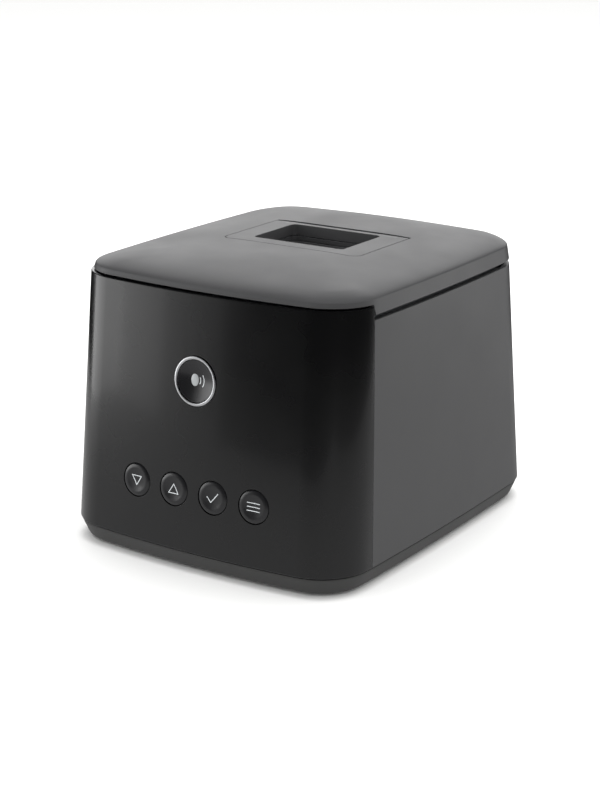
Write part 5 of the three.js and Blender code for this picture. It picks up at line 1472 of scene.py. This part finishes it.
@dataclass
class RearFittings:
    """The slatted filter cover and the mains inlet on the rear face."""

    housing: Housing
    cover_thickness: float = 3.0
    slot: float = 3.0
    bar: float = 2.4
    flange: float = 1.6
    length: float = 22.0
    recess: float = 15.0
    wall: float = 2.0
    border_share: float = 1.5
    rail_inset: float = 1.98
    corners: Point3 = (2.0, 1.2, 3.0)

    def filter_cover(self) -> None:
        """Builds the filter cover by nodes: a frame, and slats that repeat up it."""
        housing, bar, pitch = self.housing, self.bar, self.slot + self.bar
        opening, border = housing.filter_head - housing.filter_foot, bar * self.border_share
        width, height = (housing.filter_half - housing.fit) * 2, opening - housing.fit * 2
        count = math.floor((opening - bar * 3) / pitch)
        rail = (height - (pitch * count - bar)) / 2
        side, end = (width - border) / 2, (height - rail) / 2
        recipe = Recipe("slatted_cover", {
            "Height": height, "Depth": self.cover_thickness, "Slat": bar, "Pitch": pitch, "Border": border,
            "Inside": width - border * self.rail_inset, "Rail": rail, "Left": -side, "Right": side,
            "Low": -end, "High": end, "First slat": -pitch * (count - 2) / 2, "Slats": count - 1,
        })
        size = recipe.inputs
        post, beam, slat = [
            recipe.add("GeometryNodeMeshCube", {"Size": recipe.add("ShaderNodeCombineXYZ", {
                "X": size[x], "Y": size["Depth"], "Z": size[z],
            })}) for x, z in (("Border", "Height"), ("Inside", "Rail"), ("Inside", "Slat"))
        ]
        parts = [
            recipe.add("GeometryNodeTransform", {
                "Geometry": part, "Translation": recipe.add("ShaderNodeCombineXYZ", {axis: size[label]}),
            }) for part, axis, label in ((post, "X", "Left"), (post, "X", "Right"), (beam, "Z", "Low"),
                                         (beam, "Z", "High"))
        ]
        pace, first = [recipe.add("ShaderNodeCombineXYZ", {"Z": size[label]}) for label in ("Pitch", "First slat")]
        line = recipe.add("GeometryNodeMeshLine", {"Count": size["Slats"], "Offset": pace, "Start Location": first})
        parts.append(recipe.add("GeometryNodeInstanceOnPoints", {"Points": line, "Instance": slat}))
        thing = recipe.grow("cover_filter", parts, "satin_charcoal", [(0, 0, 0)])
        rise = (housing.filter_foot + housing.filter_head) / 2
        thing.data.transform(housing.form.on_rear(housing.filter_x) @ shift(0, -self.cover_thickness / 2, rise))
        dress(thing, "housing", "satin_charcoal", ["filter_cover"])

    def slab(self, grow: float, radius: float, start: float, end: float) -> Solid:
        """Gives a rounded slab in the plane of the rear face.

        Args:
            grow: How far it stands out past the socket's own outline.
            radius: The radius of its corners.
            start: Where it starts, along Y.
            end: Where it ends, along Y.

        Returns:
            The slab.
        """
        housing, grown = self.housing, grow - self.housing.fit
        half, foot, head = housing.socket_half, housing.socket_foot, housing.socket_head
        points = rounded(-half - grown, half + grown, foot - grown, head + grown, radius)
        return Solid.prism(points, -end, -start).moved(spin(TURN / 4, "X"))

    def inlet(self) -> None:
        """Builds the mains inlet: a rounded flange with a deep rectangular recess."""
        fit, flange, (rim_corner, corner, recess_corner) = self.housing.fit, self.flange, self.corners
        body = self.slab(fit + flange, rim_corner, fit, fit + flange)
        body.join(self.slab(0.0, corner, -self.length, fit + flange / 2))
        body.cut(self.slab(-self.wall, recess_corner, -self.recess, fit + flange + self.housing.overrun))
        bmesh.ops.recalc_face_normals(body.mesh, faces=body.mesh.faces[:])
        body.moved(self.housing.form.on_rear(self.housing.socket_x))
        dress(body.piece("inlet_mains"), "housing", "socket_black", ["power_inlet"])


@dataclass
class WaterChamber:
    """The clear water chamber in its bay: tub, seal and cover."""

    lid: Lid
    half: float = 60.5
    front: float = -68.5
    rear: float = 54.5
    radius: float = 8.5
    wall: float = 2.0
    foot: float = 62.8
    floor: Point2 = (68.8, 71.0)
    hole: float = 43.5
    tub_top: float = 98.6
    seal: float = 1.6
    seal_gap: float = 0.2
    top: float = 125.6
    rounding: float = 3.0
    pocket_floor: float = 112.8
    pocket_room: Point3 = (3.7, 5.0, 3.7)
    pocket_radius: float = 5.2
    collar: float = 1.1
    outlet_radius: float = 11.5
    inlet: Point3 = (-32.0, 112.5, 8.0)
    inlet_reach: float = 18.0
    hole_sides: int = 96
    corner_steps: int = 12
    shoulder_steps: int = 6

    @property
    def overrun(self) -> float:
        """Gives how far a cutting form passes the face that it opens."""
        return self.lid.housing.overrun

    def ring(self, inset: float) -> list[Point2]:
        """Gives the chamber's outline, drawn in by an inset."""
        return rounded(-self.half + inset, self.half - inset, self.front + inset, self.rear - inset,
                       self.radius - inset, self.corner_steps)

    def block(self, inset: float, bottom: float, top: float) -> Solid:
        """Gives a block that follows the chamber's outline."""
        return Solid.prism(self.ring(inset), bottom, top)

    def pocket(self, grow: float, bottom: float, top: float) -> Solid:
        """Gives the room round the lid's well.

        Args:
            grow: How far the room is grown.
            bottom: The height of its foot.
            top: The height of its head.

        Returns:
            The room as a block.
        """
        lid, (side, front, rear) = self.lid, [room + grow for room in self.pocket_room]
        return Solid.prism(rounded(-lid.well_half - side, lid.well_half + side, lid.well_front - front,
                                   lid.well_rear + rear, self.pocket_radius + grow), bottom, top)

    def tub(self) -> None:
        """Builds the tub with its hole for the heated plate."""
        body = self.block(0.0, self.foot, self.tub_top)
        body.cut(self.block(self.wall, self.floor[1], self.tub_top + self.overrun),
                 self.block(self.wall, self.foot - self.overrun, self.floor[0]),
                 Solid.rod(self.hole, self.foot, self.tub_top, (0, (self.front + self.rear) / 2), self.hole_sides))
        dress(body.piece("chamber_base_clear"), "housing", "clear_plastic", ["chamber_tub"])

    def gasket(self) -> None:
        """Builds the seal between tub and cover."""
        bottom = self.tub_top + self.seal_gap
        body = self.block(0.0, bottom, bottom + self.seal)
        body.cut(self.block(self.wall, bottom - self.overrun, bottom + self.seal + self.overrun))
        dress(body.piece("chamber_gasket"), "housing", "seal_blue", ["chamber_seal"])

    def cover(self) -> None:
        """Builds the cover with rounded shoulders, the pocket for the well, the inlet and the outlet."""
        bottom, curve, wall = self.tub_top + self.seal_gap * 2 + self.seal, self.rounding, self.wall
        shoulders = [(self.top - curve * inset, self.ring(curve * rise))
                     for rise, inset in quarter_round(self.shoulder_steps)]
        body = Solid.loft([(bottom, self.ring(0.0)), *shoulders])
        body.cut(self.block(wall, bottom - self.overrun, self.top - curve - wall),
                 self.block(curve + wall, bottom, self.top - wall))
        body.join(self.pocket(wall, self.pocket_floor - wall, self.top - wall / 2))
        body.cut(self.pocket(0.0, self.pocket_floor, self.top + self.overrun))
        x, z, radius = self.inlet
        outlet, place = self.outlet_radius, self.lid.port_place
        body.join(Solid.rod(outlet + wall, self.pocket_floor - wall / 2, self.pocket_floor + self.collar, place))
        body.cut(Solid.rod(outlet, bottom, self.top, place),
                 Solid.rod(radius, self.rear - self.inlet_reach, self.rear + self.overrun, (x, z), inward=True))
        dress(body.piece("chamber_lid_clear"), "housing", "clear_plastic", ["chamber_cover"])

    def build(self) -> None:
        """Builds the chamber's pieces."""
        for build in (self.tub, self.gasket, self.cover):
            build()


@dataclass
class HeaterSprings:
    """The three steel coil springs that press the heated plate up against the chamber."""

    circle: float = 30.0
    middle: float = -7.0
    coil: float = 3.2
    wire: float = 0.45
    turns: float = 4.0
    foot: float = 54.0
    height: float = 10.1
    travel: float = 1.5

    def build(self) -> None:
        """Winds the springs by nodes."""
        recipe = Recipe("coil_springs", {
            "Coil radius": self.coil, "Height": self.height, "Wire radius": self.wire, "Steps": 40, "Sides": 12,
        })
        size = recipe.inputs
        helix = recipe.add("GeometryNodeCurveSpiral", {
            "Rotations": self.turns, "Resolution": size["Steps"], "Start Radius": size["Coil radius"],
            "End Radius": size["Coil radius"], "Height": size["Height"],
        })
        section = recipe.add("GeometryNodeCurvePrimitiveCircle", {
            "Resolution": size["Sides"], "Radius": size["Wire radius"],
        })
        wound = recipe.add("GeometryNodeCurveToMesh", {
            "Curve": helix, "Profile Curve": section, "Fill Caps": True,
        })
        points = [(self.circle * math.cos(angle), self.middle + self.circle * math.sin(angle), self.foot)
                  for angle in fan(TURN, 3)[:-1]]
        springs = recipe.grow("springs_heater", [wound], "steel", points)
        dress(springs, "housing", "steel", ["heater_spring_1", "heater_spring_2", "heater_spring_3"])
        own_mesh(springs)


def dress_carried_nodes() -> None:
    """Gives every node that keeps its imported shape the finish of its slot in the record."""
    slots = {part["node"]: part["material_slot"] for part in frame["record"]["subparts"]}
    for name, thing in frame["nodes"].items():
        thing.data.materials.clear()
        thing.data.materials.append(PALETTE.get(slots[name]))
    LOG.info("%d packed nodes dressed", len(slots))


# Stage


@dataclass
class Stage:
    """A pale floor, soft lights and the camera at the photograph's angle."""

    place: Point3 = (0.5348, -0.8091, 0.3670)
    elevation: float = 17.3566
    azimuth: float = 33.6306
    lens: float = 84.95
    sensor: float = 36.0
    view_end: float = 50.0
    aim: Point3 = (0.0, 0.0, 0.08)
    sky: float = 1.1
    glow: float = 0.6
    floor_reach: float = 9.0
    card_reach: float = 0.45
    card_height: float = -0.001

    def camera(self) -> None:
        """Sets the camera."""
        data = bpy.data.cameras.new("camera")
        data.lens, data.sensor_width, data.clip_end = self.lens, self.sensor, self.view_end
        thing = linked("camera", data)
        thing.location = self.place
        thing.rotation_euler = (math.radians(90 - self.elevation), 0.0, math.radians(self.azimuth))
        bpy.context.scene.camera = thing

    def sheet(self, name: str, reach: float, height: float, material: bpy.types.Material) -> Thing:
        """Lays a level square sheet that isn't part of the machine.

        Args:
            name: Its name.
            reach: Half of its width, in metres.
            height: Its height, in metres.
            material: Its material.

        Returns:
            The sheet.
        """
        mesh = bpy.data.meshes.new(name)
        corners = [(x * reach, y * reach, height) for x, y in ((-1, -1), (1, -1), (1, 1), (-1, 1))]
        mesh.from_pydata(corners, [], [(0, 1, 2, 3)])
        mesh.materials.append(material)
        thing = linked(name, mesh)
        return thing

    def floor(self) -> Thing:
        """Lays the pale floor, and under it a dimmer sheet that is all the glossy faces mirror of it.

        Returns:
            The floor.
        """
        paper = Finish("paper_seamless", "f6f6f5", "f3f3f2", 0.9, Grain.CAST, 3.0, 0.05, drift_size=400.0)
        floor = self.sheet("floor", self.floor_reach, 0.0, paper.build())
        floor.visible_glossy = False
        glow = bpy.data.materials.new("floor_glow")
        glow.use_nodes = True
        glow.node_tree.nodes.clear()
        light = add(glow.node_tree, "ShaderNodeEmission", {"Color": linear("ffffff"), "Strength": self.glow})
        add(glow.node_tree, "ShaderNodeOutputMaterial", {"Surface": light})
        glow.cycles.emission_sampling = "NONE"
        card = self.sheet("floor_card", self.card_reach, self.card_height, glow)
        card.visible_camera = card.visible_diffuse = card.visible_shadow = False
        return floor

    def light(self, name: str, power: float, size: Point2, place: Point3,
              spared: Thing | None) -> Thing:
        """Adds one soft rectangular light that faces the machine.

        Args:
            name: Its name.
            power: Its power in watts.
            size: Its width and height in metres.
            place: Where it stands.
            spared: What it doesn't light, if anything.

        Returns:
            The light.
        """
        data = bpy.data.lights.new(name, "AREA")
        data.energy, data.shape, data.size, data.size_y = power, "RECTANGLE", size[0], size[1]
        thing = linked(name, data)
        thing.location = place
        thing.rotation_euler = (Vector(self.aim) - Vector(place)).to_track_quat("-Z", "Y").to_euler()
        if spared:
            receivers = bpy.data.collections.new(f"{name}_receivers")
            receivers.objects.link(spared)
            receivers.collection_objects[0].light_linking.link_state = "EXCLUDE"
            thing.light_linking.receiver_collection = receivers
        return thing

    def build(self) -> None:
        """Builds the stage."""
        self.camera()
        floor = self.floor()
        self.light("top", 26, (1.6, 1.6), (0.0, 0.3, 1.6), None).visible_glossy = False
        for name, power, size, place in (
            ("back", 21, (2.4, 1.2), (-1.35, 2.05, 0.85)),
            ("left", 22, (1.4, 1.8), (-1.75, -0.75, 0.0)),
            ("left_middle", 2.4, (0.26, 1.8), (-1.31, -1.38, 0.0)),
            ("left_inner", 1.2, (0.34, 1.8), (-1.09, -1.56, 0.0)),
            ("right", 13, (1.2, 1.8), (1.2, 1.6, 0.1)),
        ):
            self.light(name, power, size, place, floor)
        world = bpy.data.worlds.new("studio")
        bpy.context.scene.world = world
        world.use_nodes = True
        background = world.node_tree.nodes["Background"].inputs
        background["Color"].default_value, background["Strength"].default_value = linear("ffffff"), self.sky
        world.cycles_visibility.glossy = False
        bpy.context.scene.view_settings.view_transform = "Standard"


def main() -> None:
    """Builds every sub-assembly in order, after the stage."""
    logging.basicConfig(level=logging.INFO, format="%(message)s")
    Stage().build()
    dress_carried_nodes()
    housing = Housing()
    keys, start = Keys(housing), StartKey(housing)
    housing.shell()
    housing.panel([*keys.holes(), start.hole()])
    housing.tray()
    housing.feet()
    housing.screws()
    keys.build()
    start.build()
    lid, rear = Lid(housing), RearFittings(housing)
    lid.build()
    rear.filter_cover()
    rear.inlet()
    WaterChamber(lid).build()
    HeaterSprings().build()


if __name__ == "__main__":
    main()
